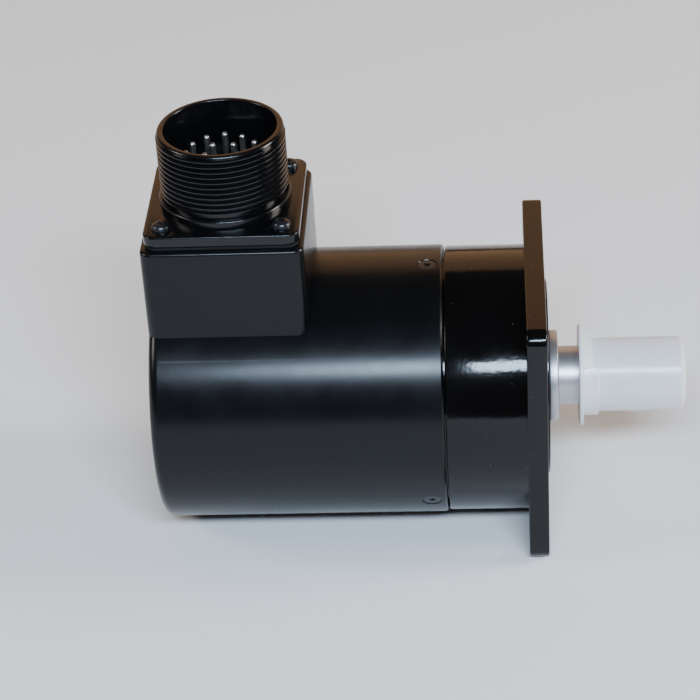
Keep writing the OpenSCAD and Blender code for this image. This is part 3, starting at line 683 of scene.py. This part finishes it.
@dataclass
class RearCover:
    """The moulded cover: barrel with a rounded rear edge, connector box and parting lines."""

    barrel_mm: float = 68.6
    wall_mm: float = 2.9
    edge_mm: float = 2.5
    chamfer_mm: float = 0.5
    box_wide_mm: float = 41.4
    box_foot_mm: float = 24.5
    box_corner_mm: float = 3.0
    rim_mm: float = 0.9
    box_bore_mm: float = 30.0
    bore_foot_mm: float = 5.0
    bore_long_mm: float = 60.0
    screw_x_mm: float = -29.2
    dimple_mm: float = 5.0
    dimple_deep_mm: float = 0.1
    dimple_over_mm: float = 2.0
    screw_hole_mm: float = 2.7
    screw_head_deep_mm: float = 1.7
    screw_hole_deep_mm: float = 6.0
    screw_mm: float = 2.5
    screw_tip_mm: float = 6.7
    screw_neck_mm: float = 1.8
    screw_head_mm: float = 4.4
    screw_sink_mm: float = 0.2
    screw_edge_mm: float = 0.12
    screw_side_mm: float = 0.15
    screw_rim_mm: float = 0.02
    screw_turn_deg: float = 30.0
    parting_deg: float = 42.5
    parting_wide_mm: float = 0.28
    parting_high_mm: float = 0.09
    parting_sink_mm: float = 0.3
    parting_rear_mm: float = 3.0
    parting_front_mm: float = 0.6
    turn_steps: int = 256

    def barrel(self, front: float, rear: float) -> bpy.types.Object:
        """The hollow barrel.

        Args:
            front: place of the open end, in mm.
            rear: place of the closed end, in mm.

        Returns:
            The turned shell.
        """
        outer = self.barrel_mm / 2
        inner = outer - self.wall_mm
        outline = [
            (rear, 0.0),
            (rear, outer - self.edge_mm),
            *arc((rear + self.edge_mm, outer - self.edge_mm), self.edge_mm, 180, 90, 8),
            (front - self.chamfer_mm, outer),
            (front, outer - self.chamfer_mm),
            (front, inner),
            (rear + self.wall_mm, inner),
            (rear + self.wall_mm, 0.0),
        ]
        bm = bmesh.new()
        spin_profile(bm, outline, Axis.SHAFT, Vector(), self.turn_steps)
        return piece("rear_cover_visual", bm, MOULDED_NYLON)

    def box(self) -> bpy.types.Object:
        """The connector box, from inside the barrel's wall up to its rim."""
        low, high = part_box("rear_cover")
        shell_low, shell_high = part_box("connector_shell")
        middle = (shell_low.x + shell_high.x) / 2
        half = middle - low.x
        wide = self.box_wide_mm / 2 * MM
        bm = bmesh.new()
        block(bm, Vector((low.x, -wide, self.box_foot_mm * MM)), Vector((middle + half, wide, high.z)))
        round_edges(bm, self.box_corner_mm, 8, lambda e: runs_along(e, 2))
        top = high.z - LEVEL
        round_edges(bm, self.rim_mm, 5, lambda e: all(v.co.z > top for v in e.verts))
        return piece("cover_box", bm, MOULDED_NYLON)

    def cutters(self) -> list[bpy.types.Object]:
        """The wire space in the box and the dimples of the three screws."""
        shell_low, shell_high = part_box("connector_shell")
        middle = (shell_low.x + shell_high.x) / 2
        bore = self.box_bore_mm / 2
        foot = Vector((middle, 0, self.bore_foot_mm * MM))
        sides = [(0, bore), (self.bore_long_mm, bore)]
        made = [drill("wire_space", foot, Vector((0, 0, 1)), sides, WIDE_DRILL_STEPS)]
        wide, hole = self.dimple_mm / 2, self.screw_hole_mm / 2
        countersink = [
            (-self.dimple_over_mm, wide), (self.dimple_deep_mm, wide),
            (self.screw_head_deep_mm, hole), (self.screw_hole_deep_mm, hole),
        ]
        for angle in COVER_SCREW_DEG:
            out = Matrix.Rotation(math.radians(angle), 3, "X") @ Vector((0, 0, 1))
            start = Vector((self.screw_x_mm * MM, 0, 0)) + out * (self.barrel_mm / 2 * MM)
            made.append(drill("screw_dimple", start, -out, countersink))
        return made

    def parting_lines(self, front: float, rear: float) -> Iterable[bpy.types.Object]:
        """The raised witness lines that the mould leaves along both sides.

        Args:
            front: place of the open end, in mm.
            rear: place of the closed end, in mm.

        Yields:
            Each line as a thin block.
        """
        outer = self.barrel_mm / 2
        half = self.parting_wide_mm / 2
        low = Vector((rear + self.parting_rear_mm, -half, outer - self.parting_sink_mm)) * MM
        high = Vector((front - self.parting_front_mm, half, outer + self.parting_high_mm)) * MM
        for side in (-1, 1):
            bm = bmesh.new()
            block(bm, low, high)
            turn = Matrix.Rotation(-side * math.radians(90 - self.parting_deg), 4, "X")
            bmesh.ops.transform(bm, matrix=turn, verts=bm.verts)
            yield piece("parting_line", bm, MOULDED_NYLON)

    def build(self) -> None:
        """Makes the cover in place of its CAD node."""
        low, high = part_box("rear_cover")
        front, rear = high.x / MM, low.x / MM
        made = self.barrel(front, rear)
        combine(made, [self.box(), *self.parting_lines(front, rear)], "UNION")
        combine(made, self.cutters(), "DIFFERENCE")
        made.data.materials.clear()
        made.data.materials.append(MOULDED_NYLON.make())
        seat(made, "housing", "cover_plastic", "rear_cover")

    def screw_places(self) -> list[Matrix]:
        """Where the three countersunk screws sit, heads outwards, each turned a little further."""
        places = []
        for angle in COVER_SCREW_DEG:
            turn = Matrix.Rotation(math.radians(angle), 4, "X")
            out = Matrix.Translation((self.screw_x_mm * MM, 0, self.barrel_mm / 2 * MM))
            slot = Matrix.Rotation(math.radians(self.screw_turn_deg + angle / 3), 4, "Z")
            places.append(turn @ out @ slot)
        return places

    def build_screws(self) -> None:
        """Makes the three screws that hold the cover."""
        tip, top = -self.screw_tip_mm, -self.screw_sink_mm
        shank, head, edge = self.screw_mm / 2, self.screw_head_mm / 2, self.screw_edge_mm
        outline = [
            (tip, 0.0), (tip, shank), (-self.screw_neck_mm, shank), (top - self.screw_side_mm, head),
            (top - self.screw_rim_mm, head + edge), (top, head), (top, 0.0),
        ]
        CrossScrew("cover_screw", "cover_screws", outline, top).build(self.screw_places(), "dark_steel")


@dataclass
class CrossScrew:
    """A screw with a cross recess, modelled once upright and copied to its places."""

    name: str
    node: str
    outline: list[Point]
    recess_top_mm: float
    recess_long_mm: float = 2.7
    recess_wide_mm: float = 0.75
    recess_deep_mm: float = 1.0
    recess_taper: float = 0.55
    arm_high_mm: float = 3.0
    turn_steps: int = 40

    def upright(self) -> bpy.types.Object:
        """One screw at the origin, its head up."""
        bm = bmesh.new()
        spin_profile(bm, self.outline, Axis.CONNECTOR, Vector(), self.turn_steps)
        made = piece(self.name, bm, BLACK_OXIDE)
        for long_axis in (0, 1):
            arm = bmesh.new()
            size = [self.recess_wide_mm / 2 * MM] * 2
            size[long_axis] = self.recess_long_mm / 2 * MM
            foot = (self.recess_top_mm - self.recess_deep_mm) * MM
            head = foot + self.arm_high_mm * MM
            block(arm, Vector((-size[0], -size[1], foot)), Vector((size[0], size[1], head)))
            bottom = [v for v in arm.verts if v.co.z < foot + LEVEL]
            bmesh.ops.scale(arm, vec=(self.recess_taper, self.recess_taper, 1.0), verts=bottom)
            combine(made, [piece("recess_arm", arm, BLACK_OXIDE)], "DIFFERENCE")
        return made

    def build(self, places: Iterable[Matrix], slot: str) -> None:
        """Copies the screw to its places as one piece.

        Args:
            places: where each screw goes.
            slot: handed to seat, which does not use it.
        """
        one = self.upright()
        bm = bmesh.new()
        for place in places:
            before = set(bm.verts)
            bm.from_mesh(one.data)
            fresh = [v for v in bm.verts if v not in before]
            bmesh.ops.transform(bm, matrix=place, verts=fresh)
        bpy.data.objects.remove(one)
        seat(piece(f"{self.name}_visual", bm, BLACK_OXIDE), "housing", slot, self.node)


@dataclass
class ThreadedConnector:
    """The threaded receptacle: flange, helical coupling thread, contact pins."""

    thread_mm: float = 31.75
    pitch_mm: float = 1.411
    depth_mm: float = 0.8
    bore_mm: float = 27.7
    foot_mm: float = 32.6
    foot_high_mm: float = 2.4
    flange_thick_mm: float = 3.0
    corner_mm: float = 3.2
    flange_edge_mm: float = 0.4
    socket_mm: float = 29.4
    socket_in_flange_mm: float = 1.5
    foot_edge_mm: float = 0.5
    rim_drop_mm: float = 1.1
    rim_round_mm: float = 0.75
    rim_root_mm: float = 0.3
    rim_inside_mm: float = 0.35
    thread_foot_mm: float = 0.75
    thread_head_mm: float = 1.3
    crest_flat_mm: float = 0.24
    crest_drop_mm: float = 0.04
    root_gap_mm: float = 0.06
    root_sink_mm: float = 0.15
    screw_square_mm: float = 29.36
    screw_long_mm: float = 8.1
    screw_mm: float = 2.8
    head_mm: float = 4.5
    head_side_mm: float = 0.55
    head_high_mm: float = 1.7
    head_round_mm: float = 1.15
    pin_mm: float = 1.6
    tail_mm: float = 2.2
    inner_ring_mm: float = 4.4
    outer_pins: int = 12
    inner_pins: int = 5
    outer_first_deg: float = 90.0
    inner_first_deg: float = 270.0
    thread_smooth_deg: float = 50.0
    shell_smooth_deg: float = 40.0
    sleeve_steps: int = 160
    thread_steps: int = 96
    pin_steps: int = 20

    def axis_at(self) -> Vector:
        """The foot of the connector's axis, in metres."""
        low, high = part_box("connector_shell")
        return Vector(((low.x + high.x) / 2, 0, 0))

    def levels(self) -> tuple[float, float, float]:
        """Heights of the tail, the flange top and the rim, in mm."""
        low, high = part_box("connector_shell")
        flange_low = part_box("connector_gasket")[1].z / MM
        return low.z / MM, flange_low + self.flange_thick_mm, high.z / MM

    def sleeve(self) -> bpy.types.Object:
        """The turned barrel, from the tail in the box to the rolled rim."""
        tail, flange, rim = self.levels()
        root = self.thread_mm / 2 - self.depth_mm
        bore = self.bore_mm / 2
        foot = self.foot_mm / 2
        socket = self.socket_mm / 2
        foot_top = flange + self.foot_high_mm
        edge, curl, inside = self.foot_edge_mm, self.rim_round_mm, self.rim_inside_mm
        outline = [
            (tail, bore),
            (tail, socket),
            (flange - self.socket_in_flange_mm, socket),
            (flange - self.socket_in_flange_mm, foot),
            *arc((foot_top - edge, foot - edge), edge, 90, 0, 4),
            (foot_top, root),
            (rim - self.rim_drop_mm, root),
            *arc((rim - curl, root - self.rim_root_mm), curl, 75, 0, 6),
            *arc((rim - inside, bore + inside), inside, 0, -90, 4),
        ]
        bm = bmesh.new()
        spin_profile(bm, outline, Axis.CONNECTOR, self.axis_at(), self.sleeve_steps)
        return piece("connector_sleeve", bm, SHELL_PAINT)

    def thread(self) -> bpy.types.Object:
        """The coupling thread, a ridge that climbs one pitch each turn."""
        _, flange, rim = self.levels()
        start = flange + self.foot_high_mm + self.thread_foot_mm
        turns = (rim - self.thread_head_mm - start) / self.pitch_mm
        root = self.thread_mm / 2 - self.depth_mm - self.root_sink_mm
        crest = self.thread_mm / 2 - self.crest_drop_mm
        half = self.pitch_mm / 2 - self.root_gap_mm
        flat = self.crest_flat_mm / 2
        foot = self.axis_at()
        bm = bmesh.new()
        ridge = [(-half, root), (-flat, crest), (flat, crest), (half, root)]
        verts = [bm.verts.new(foot + Vector((r * MM, 0, (start + a) * MM))) for a, r in ridge]
        face = bm.faces.new(verts)
        per_turn = self.thread_steps
        steps = int(turns * per_turn)
        bmesh.ops.spin(
            bm, geom=[face], cent=foot, axis=(0, 0, 1), dvec=Vector((0, 0, self.pitch_mm * MM / per_turn)),
            angle=TURN * steps / per_turn, steps=steps, use_merge=False, use_duplicate=False,
        )
        return piece("coupling_thread", bm, SHELL_PAINT, self.thread_smooth_deg)

    def flange(self) -> bpy.types.Object:
        """The square flange with its screw holes."""
        low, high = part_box("connector_shell")
        _, top, _ = self.levels()
        bm = bmesh.new()
        under = Vector((low.x, low.y, (top - self.flange_thick_mm) * MM))
        block(bm, under, Vector((high.x, high.y, top * MM)))
        round_edges(bm, self.corner_mm, 8, lambda e: runs_along(e, 2))
        round_edges(bm, self.flange_edge_mm, 3, is_corner)
        made = piece("connector_shell_visual", bm, SHELL_PAINT)
        bore = self.bore_mm / 2
        start = Vector((self.axis_at().x, 0, low.z - self.flange_thick_mm * MM))
        long = (high.z - start.z) / MM + self.flange_thick_mm
        cutter = drill("bore", start, Vector((0, 0, 1)), [(0, bore), (long, bore)], WIDE_DRILL_STEPS)
        combine(made, [cutter], "DIFFERENCE")
        return made

    def build_shell(self) -> None:
        """Makes the shell in place of its CAD node."""
        made = self.flange()
        parts = [self.sleeve(), self.thread()]
        bm = bmesh.new()
        bm.from_mesh(made.data)
        for part in parts:
            bm.from_mesh(part.data)
            bpy.data.objects.remove(part)
        bpy.data.objects.remove(made)
        shell = piece("connector_shell_visual", bm, SHELL_PAINT, self.shell_smooth_deg)
        seat(shell, "housing", "shell_finish", "connector_shell")

    def build_pins(self) -> None:
        """Makes the contact pins, on an outer and an inner circle."""
        low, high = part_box("connector_pins")
        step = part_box("connector_insert")[0].z / MM
        tip = high.z / MM
        r = self.pin_mm / 2
        outline = [
            (low.z / MM, 0.0),
            (low.z / MM, self.tail_mm / 2),
            (step, self.tail_mm / 2),
            (step, r),
            *arc((tip - r, 0.0), r, 90, 0, 6),
        ]
        outer = (high.y - low.y) / 2 / MM - self.tail_mm / 2
        rings = (
            (self.outer_pins, outer, self.outer_first_deg),
            (self.inner_pins, self.inner_ring_mm, self.inner_first_deg),
        )
        bm = bmesh.new()
        for count, radius, first in rings:
            for i in range(count):
                turn = math.radians(first + i * 360 / count)
                foot = self.axis_at() + Vector((math.cos(turn), math.sin(turn), 0)) * (radius * MM)
                spin_profile(bm, outline, Axis.CONNECTOR, foot, self.pin_steps)
        seat(piece("connector_pins_visual", bm, PLATED_CONTACT), "housing", "pin_plating", "connector_pins")

    def screw_places(self) -> list[Matrix]:
        """Where the four flange screws stand."""
        reach = self.screw_square_mm / 2 * MM
        top = self.levels()[1] * MM
        turns = {(-1, -1): 20, (1, -1): 55, (1, 1): 10, (-1, 1): 70}
        return [
            Matrix.Translation(self.axis_at() + Vector((sx * reach, sy * reach, top)))
            @ Matrix.Rotation(math.radians(turn), 4, "Z")
            for (sx, sy), turn in turns.items()
        ]

    def build(self) -> None:
        """Makes the shell, pins and screws."""
        self.build_shell()
        self.build_pins()
        shank, head, side = self.screw_mm / 2, self.head_mm / 2, self.head_side_mm
        pan = [
            (-self.screw_long_mm, 0.0), (-self.screw_long_mm, shank), (0.0, shank), (0.0, head), (side, head),
            *arc((side, head - self.head_round_mm), self.head_round_mm, 90, 10, 6), (self.head_high_mm, 0.0),
        ]
        screw = CrossScrew("connector_screw", "connector_screws", pan, self.head_high_mm)
        screw.build(self.screw_places(), "black_screw")


@dataclass
class ShaftLine:
    """The turned shaft with its keyway and the slinger collar."""

    shaft_mm: float = 15.0
    key_mm: float = 5.0
    key_deep_mm: float = 3.0
    key_start_mm: float = 13.0
    key_long_mm: float = 18.0
    key_deg: float = 28.0
    key_flat_mm: float = 0.01
    groove_x_mm: float = 9.6
    groove_mm: float = 1.15
    groove_depth_mm: float = 0.35
    tail_mm: float = 12.0
    tail_edge_mm: float = 0.4
    tail_front_mm: float = -34.0
    shoulder_mm: float = 19.0
    shoulder_rear_mm: float = -25.0
    shoulder_front_mm: float = -15.0
    end_edge_mm: float = 0.6
    centre_mm: float = 4.0
    centre_deep_mm: float = 2.0
    centre_point_mm: float = 0.2
    collar_mm: float = 23.3
    collar_back_mm: float = 0.2
    collar_front_mm: float = 0.35
    ring_outer_mm: float = 19.2
    ring_inner_mm: float = 16.2
    ring_slope_mm: float = 0.3
    ring_deep_mm: float = 0.25
    turn_steps: int = 128

    def shaft(self) -> bpy.types.Object:
        """The shaft, turned from end to end, with its groove and centre hole."""
        low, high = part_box("shaft")
        r = self.shaft_mm / 2
        end = high.x / MM
        tail = low.x / MM
        rod, edge, shoulder = self.tail_mm / 2, self.tail_edge_mm, self.shoulder_mm / 2
        groove = r - self.groove_depth_mm
        groove_end = self.groove_x_mm + self.groove_mm
        outline = [
            (tail, 0.0), (tail, rod - edge), (tail + edge, rod),
            (self.tail_front_mm, rod), (self.tail_front_mm, r),
            (self.shoulder_rear_mm, r), (self.shoulder_rear_mm, shoulder),
            (self.shoulder_front_mm, shoulder), (self.shoulder_front_mm, r),
            (self.groove_x_mm, r), (self.groove_x_mm, groove), (groove_end, groove), (groove_end, r),
            (end - self.end_edge_mm, r), (end, r - self.end_edge_mm), (end, self.centre_mm / 2),
            (end - self.centre_deep_mm, self.centre_point_mm), (end - self.centre_deep_mm, 0.0),
        ]
        bm = bmesh.new()
        spin_profile(bm, outline, Axis.SHAFT, Vector(), self.turn_steps)
        return piece("shaft_visual", bm, TURNED_STEEL)

    def key_cutter(self) -> bpy.types.Object:
        """The round-ended keyway as a solid to cut away."""
        bm = bmesh.new()
        half = self.key_mm / 2 * MM
        deep = (self.shaft_mm / 2 - self.key_deep_mm) * MM
        start = self.key_start_mm * MM
        above = self.shaft_mm * MM
        block(bm, Vector((start, -half, deep)), Vector((start + self.key_long_mm * MM, half, above)))
        round_edges(bm, self.key_mm / 2 - self.key_flat_mm, 10, lambda e: runs_along(e, 2))
        turn = Matrix.Rotation(math.radians(90 - self.key_deg), 4, "X")
        bmesh.ops.transform(bm, matrix=turn, verts=bm.verts)
        return piece("key_cutter", bm, TURNED_STEEL)

    def build(self) -> None:
        """Makes the shaft and collar in place of their CAD nodes."""
        made = self.shaft()
        combine(made, [self.key_cutter()], "DIFFERENCE")
        seat(made, "rotor", "turned_steel", "shaft")
        low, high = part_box("slinger_collar")
        first, last = low.x / MM, high.x / MM
        r = self.collar_mm / 2
        bore = self.shaft_mm / 2
        back, face = self.collar_back_mm, self.collar_front_mm
        outer, inner, slope = self.ring_outer_mm / 2, self.ring_inner_mm / 2, self.ring_slope_mm
        floor = last - self.ring_deep_mm
        outline = [
            (first, bore),
            *arc((first + back, r - back), back, 180, 90, 3),
            *arc((last - face, r - face), face, 90, 0, 4),
            (last, outer), (floor, outer - slope), (floor, inner + slope), (last, inner), (last, bore),
        ]
        bm = bmesh.new()
        spin_profile(bm, outline, Axis.SHAFT, Vector(), self.turn_steps)
        seat(piece("slinger_collar_visual", bm, TURNED_STEEL), "rotor", "turned_steel", "slinger_collar")


@dataclass
class TransitCap:
    """The soft milky cap that protects the shaft end."""

    bore_mm: float = 15.12
    body_mm: float = 18.9
    lip_mm: float = 26.0
    lip_thick_mm: float = 1.0
    flare_long_mm: float = 3.5
    flare_deg: float = 42.0
    flare_back_mm: float = 0.35
    flare_front_mm: float = 0.5
    flare_sink_mm: float = 0.1
    flare_toe_mm: float = 0.04
    flare_tail_mm: float = 0.6
    base_mm: float = 20.7
    base_long_mm: float = 4.0
    end_mm: float = 2.0
    edge_mm: float = 1.5
    lip_edge_mm: float = 0.3
    root_mm: float = 0.6
    bore_chamfer_mm: float = 0.8
    wall_overlap_mm: float = 0.5
    lip_overlap_mm: float = 0.4
    base_edge_mm: float = 0.4
    base_corner_mm: float = 1.2
    sector_step_deg: float = 3.0
    turn_steps: int = 128

    def build(self) -> None:
        """Makes the cap in place of its CAD node."""
        low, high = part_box("shaft_cap")
        start, tip = low.x / MM, high.x / MM
        body, bore, lip = self.body_mm / 2, self.bore_mm / 2, self.lip_mm / 2
        edge, root = self.lip_edge_mm, self.root_mm
        outline = [
            (start, bore),
            *arc((start + edge, lip - edge), edge, 180, 90, 3),
            *arc((start + self.lip_thick_mm - edge, lip - edge), edge, 90, 0, 3),
            *arc((start + self.lip_thick_mm + root, body + root), root, 180, 270, 4),
            *arc((tip - self.edge_mm, body - self.edge_mm), self.edge_mm, 90, 0, 8),
            (tip, 0.0),
            (tip - self.end_mm, 0.0),
            (tip - self.end_mm, bore - self.bore_chamfer_mm),
            (tip - self.end_mm - self.bore_chamfer_mm, bore),
        ]
        bm = bmesh.new()
        spin_profile(bm, outline, Axis.SHAFT, Vector(), self.turn_steps)
        made = piece("shaft_cap_visual", bm, POLYETHYLENE)
        combine(made, [self.flare(start), self.base(start)], "UNION")
        made.data.materials.clear()
        made.data.materials.append(POLYETHYLENE.make())
        seat(made, "cap", "cap_polyethylene", "shaft_cap")

    def sector(self, outline: Sequence[Point], first: float, sweep: float) -> bmesh.types.BMesh:
        """Spins a closed outline through part of a turn.

        Args:
            outline: place along the shaft and distance from it, in mm.
            first: where it starts, in degrees above the horizontal on the near side.
            sweep: how far it turns, in degrees.

        Returns:
            The mesh of the closed sector.
        """
        turn = math.radians(first)
        away = Vector((0, -math.cos(turn), math.sin(turn)))
        bm = bmesh.new()
        face = bm.faces.new([bm.verts.new(Vector((a, 0, 0)) * MM + away * (r * MM)) for a, r in outline])
        bmesh.ops.spin(
            bm, geom=[face], cent=(0, 0, 0), axis=(-1, 0, 0), dvec=Vector(), angle=math.radians(sweep),
            steps=int(sweep / self.sector_step_deg), use_merge=False, use_duplicate=False,
        )
        return bm

    def flare(self, start: float) -> bpy.types.Object:
        """The conical flare that braces the lip over the top.

        Args:
            start: where the lip starts, in mm.

        Returns:
            The flare, ready to be joined.
        """
        inside = self.body_mm / 2 - self.wall_overlap_mm
        first = start + self.lip_overlap_mm
        outline = [
            (first, inside),
            (first, self.lip_mm / 2 - self.flare_back_mm),
            (start + self.lip_thick_mm - self.flare_sink_mm, self.lip_mm / 2 - self.flare_front_mm),
            (start + self.flare_long_mm, self.body_mm / 2 + self.flare_toe_mm),
            (start + self.flare_long_mm + self.flare_tail_mm, inside),
        ]
        bm = self.sector(outline, self.flare_deg, 180 - 2 * self.flare_deg)
        return piece("cap_flare", bm, POLYETHYLENE)

    def base(self, start: float) -> bpy.types.Object:
        """The stepped base round the rest of the lip, with a rounded end.

        Args:
            start: where the lip starts, in mm.

        Returns:
            The base, ready to be joined.
        """
        inside = self.body_mm / 2 - self.wall_overlap_mm
        first = start + self.lip_overlap_mm
        step = start + self.lip_thick_mm + self.base_long_mm
        base = self.base_mm / 2
        edge = self.base_edge_mm
        outline = [
            (first, inside),
            (first, base),
            *arc((step - edge, base - edge), edge, 90, 0, 3),
            (step, inside),
        ]
        bm = self.sector(outline, 180 - self.flare_deg, 180 + 2 * self.flare_deg)
        round_edges(bm, self.base_corner_mm, 4, self._end_corner(step))
        return piece("cap_base", bm, POLYETHYLENE)

    def _end_corner(self, step: float) -> Callable[[bmesh.types.BMEdge], bool]:
        """Picks the radial edges at the two ends of the base's step.

        Args:
            step: where the step lies, in mm.

        Returns:
            The test that each edge is put to.
        """

        level_mm, radial_mm, near_deg = 0.01, 0.3, 0.5
        turns = (self.flare_deg, 180 - self.flare_deg)

        def wanted(edge: bmesh.types.BMEdge) -> bool:
            ends = [v.co for v in edge.verts]
            level = all(abs(c.x / MM - step) < level_mm for c in ends)
            reach = [math.hypot(c.y, c.z) / MM for c in ends]
            if not level or abs(reach[0] - reach[1]) < radial_mm:
                return False
            ways = [math.degrees(math.atan2(c.z, -c.y)) for c in ends]
            return any(abs(way - turn) < near_deg for way in ways for turn in turns)

        return wanted


@dataclass(frozen=True)
class Lamp:
    """A soft rectangular light: place and size in metres, power in watts, sRGB colour."""

    name: str
    place: tuple[float, float, float]
    size: Point
    watts: float
    colour: str


# The long key gives the barrel its bright line, and the warm wall shows along the barrel's top.
LAMPS = (
    Lamp("key_softbox", (0.12, -1.05, 1.0), (0.85, 0.19), 38.0, "#c6dcf6"),
    Lamp("warm_wall", (0.0, 1.3, 0.55), (2.6, 0.95), 15.0, "#bd9066"),
    Lamp("right_softbox", (1.3, 0.1, 0.5), (0.4, 0.6), 20.0, "#f2eee8"),
    Lamp("left_softbox", (-1.7, -0.2, 1.1), (0.6, 0.6), 15.0, "#f2eee8"),
)


@dataclass
class Studio:
    """The pale floor, the soft lights and the camera."""

    eye_mm: tuple[float, float, float] = (-9.6, -530.8, 360.2)
    yaw_deg: float = -4.33
    pitch_deg: float = 33.41
    roll_deg: float = -3.61
    lens_mm: float = 128.1
    sensor_mm: float = 36.0
    near_m: float = 0.01
    floor_m: float = 4.0
    aim_m: tuple[float, float, float] = (-0.04, 0.0, 0.01)
    sky: str = "#9a8f84"
    sky_strength: float = 0.3

    def camera(self) -> None:
        """Sets the camera at its viewing angle."""
        yaw, pitch, roll = (math.radians(a) for a in (self.yaw_deg, self.pitch_deg, self.roll_deg))
        ahead = Vector((math.sin(yaw), math.cos(yaw), -math.tan(pitch))).normalized()
        level = Vector((math.cos(yaw), -math.sin(yaw), 0))
        upright = level.cross(ahead)
        right = level * math.cos(roll) + upright * math.sin(roll)
        up = upright * math.cos(roll) - level * math.sin(roll)
        data = bpy.data.cameras.new("camera")
        data.lens = self.lens_mm
        data.sensor_width = self.sensor_mm
        data.clip_start = self.near_m
        made = bpy.data.objects.new("camera", data)
        turn = Matrix((right, up, -ahead)).transposed().to_4x4()
        made.matrix_world = Matrix.Translation(Vector(self.eye_mm) * MM) @ turn
        bpy.context.scene.collection.objects.link(made)
        bpy.context.scene.camera = made

    def floor(self, level: float) -> None:
        """Lays the floor.

        Args:
            level: its height, in metres.
        """
        bm = bmesh.new()
        place = Matrix.Translation((0, 0, level))
        bmesh.ops.create_grid(bm, x_segments=1, y_segments=1, size=self.floor_m, matrix=place)
        finish = Finish(
            "pale_floor", "#f4f2ef", "#f0eeeb", 0.6, grain_mm=2.0, grain_height_mm=0.01, patch_mm=80.0
        )
        piece("floor", bm, finish)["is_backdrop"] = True

    def light(self, lamp: Lamp) -> None:
        """Adds a lamp that faces the object.

        Args:
            lamp: the lamp.
        """
        data = bpy.data.lights.new(lamp.name, "AREA")
        data.shape = "RECTANGLE"
        data.size, data.size_y = lamp.size
        data.energy = lamp.watts
        data.color = linear(lamp.colour)[:3]
        made = bpy.data.objects.new(lamp.name, data)
        aim = Vector(self.aim_m) - Vector(lamp.place)
        turn = aim.to_track_quat("-Z", "Y").to_matrix().to_4x4()
        made.matrix_world = Matrix.Translation(lamp.place) @ turn
        bpy.context.scene.collection.objects.link(made)

    def build(self, level: float) -> None:
        """Makes the whole studio.

        Args:
            level: the floor's height, in metres.
        """
        self.camera()
        self.floor(level)
        world = bpy.data.worlds.new("studio")
        world.use_nodes = True
        sky = world.node_tree.nodes["Background"]
        sky.inputs["Color"].default_value = linear(self.sky)
        sky.inputs["Strength"].default_value = self.sky_strength
        bpy.context.scene.world = world
        for lamp in LAMPS:
            self.light(lamp)


def dress_carried_over(nodes: dict[str, bpy.types.Object]) -> None:
    """Gives every CAD node that stays its finish.

    Args:
        nodes: the CAD nodes by name.
    """
    for finish, names in CARRIED_OVER.items():
        for name in names:
            mesh = nodes[name].data
            mesh.materials.clear()
            mesh.materials.append(finish.make())
            LOG.info("%s: dressed in %s", name, finish.name)


def main() -> None:
    """Builds every sub-assembly in order."""
    logging.basicConfig(level=logging.INFO, format="%(name)s: %(message)s")
    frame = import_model()
    cad_box = [list(corner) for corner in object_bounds()]
    Studio().build(cad_box[0][2])
    MountingHousing().build()
    cover = RearCover()
    cover.build()
    cover.build_screws()
    ThreadedConnector().build()
    ShaftLine().build()
    TransitCap().build()
    dress_carried_over(frame["nodes"])


if __name__ == "__main__":
    main()
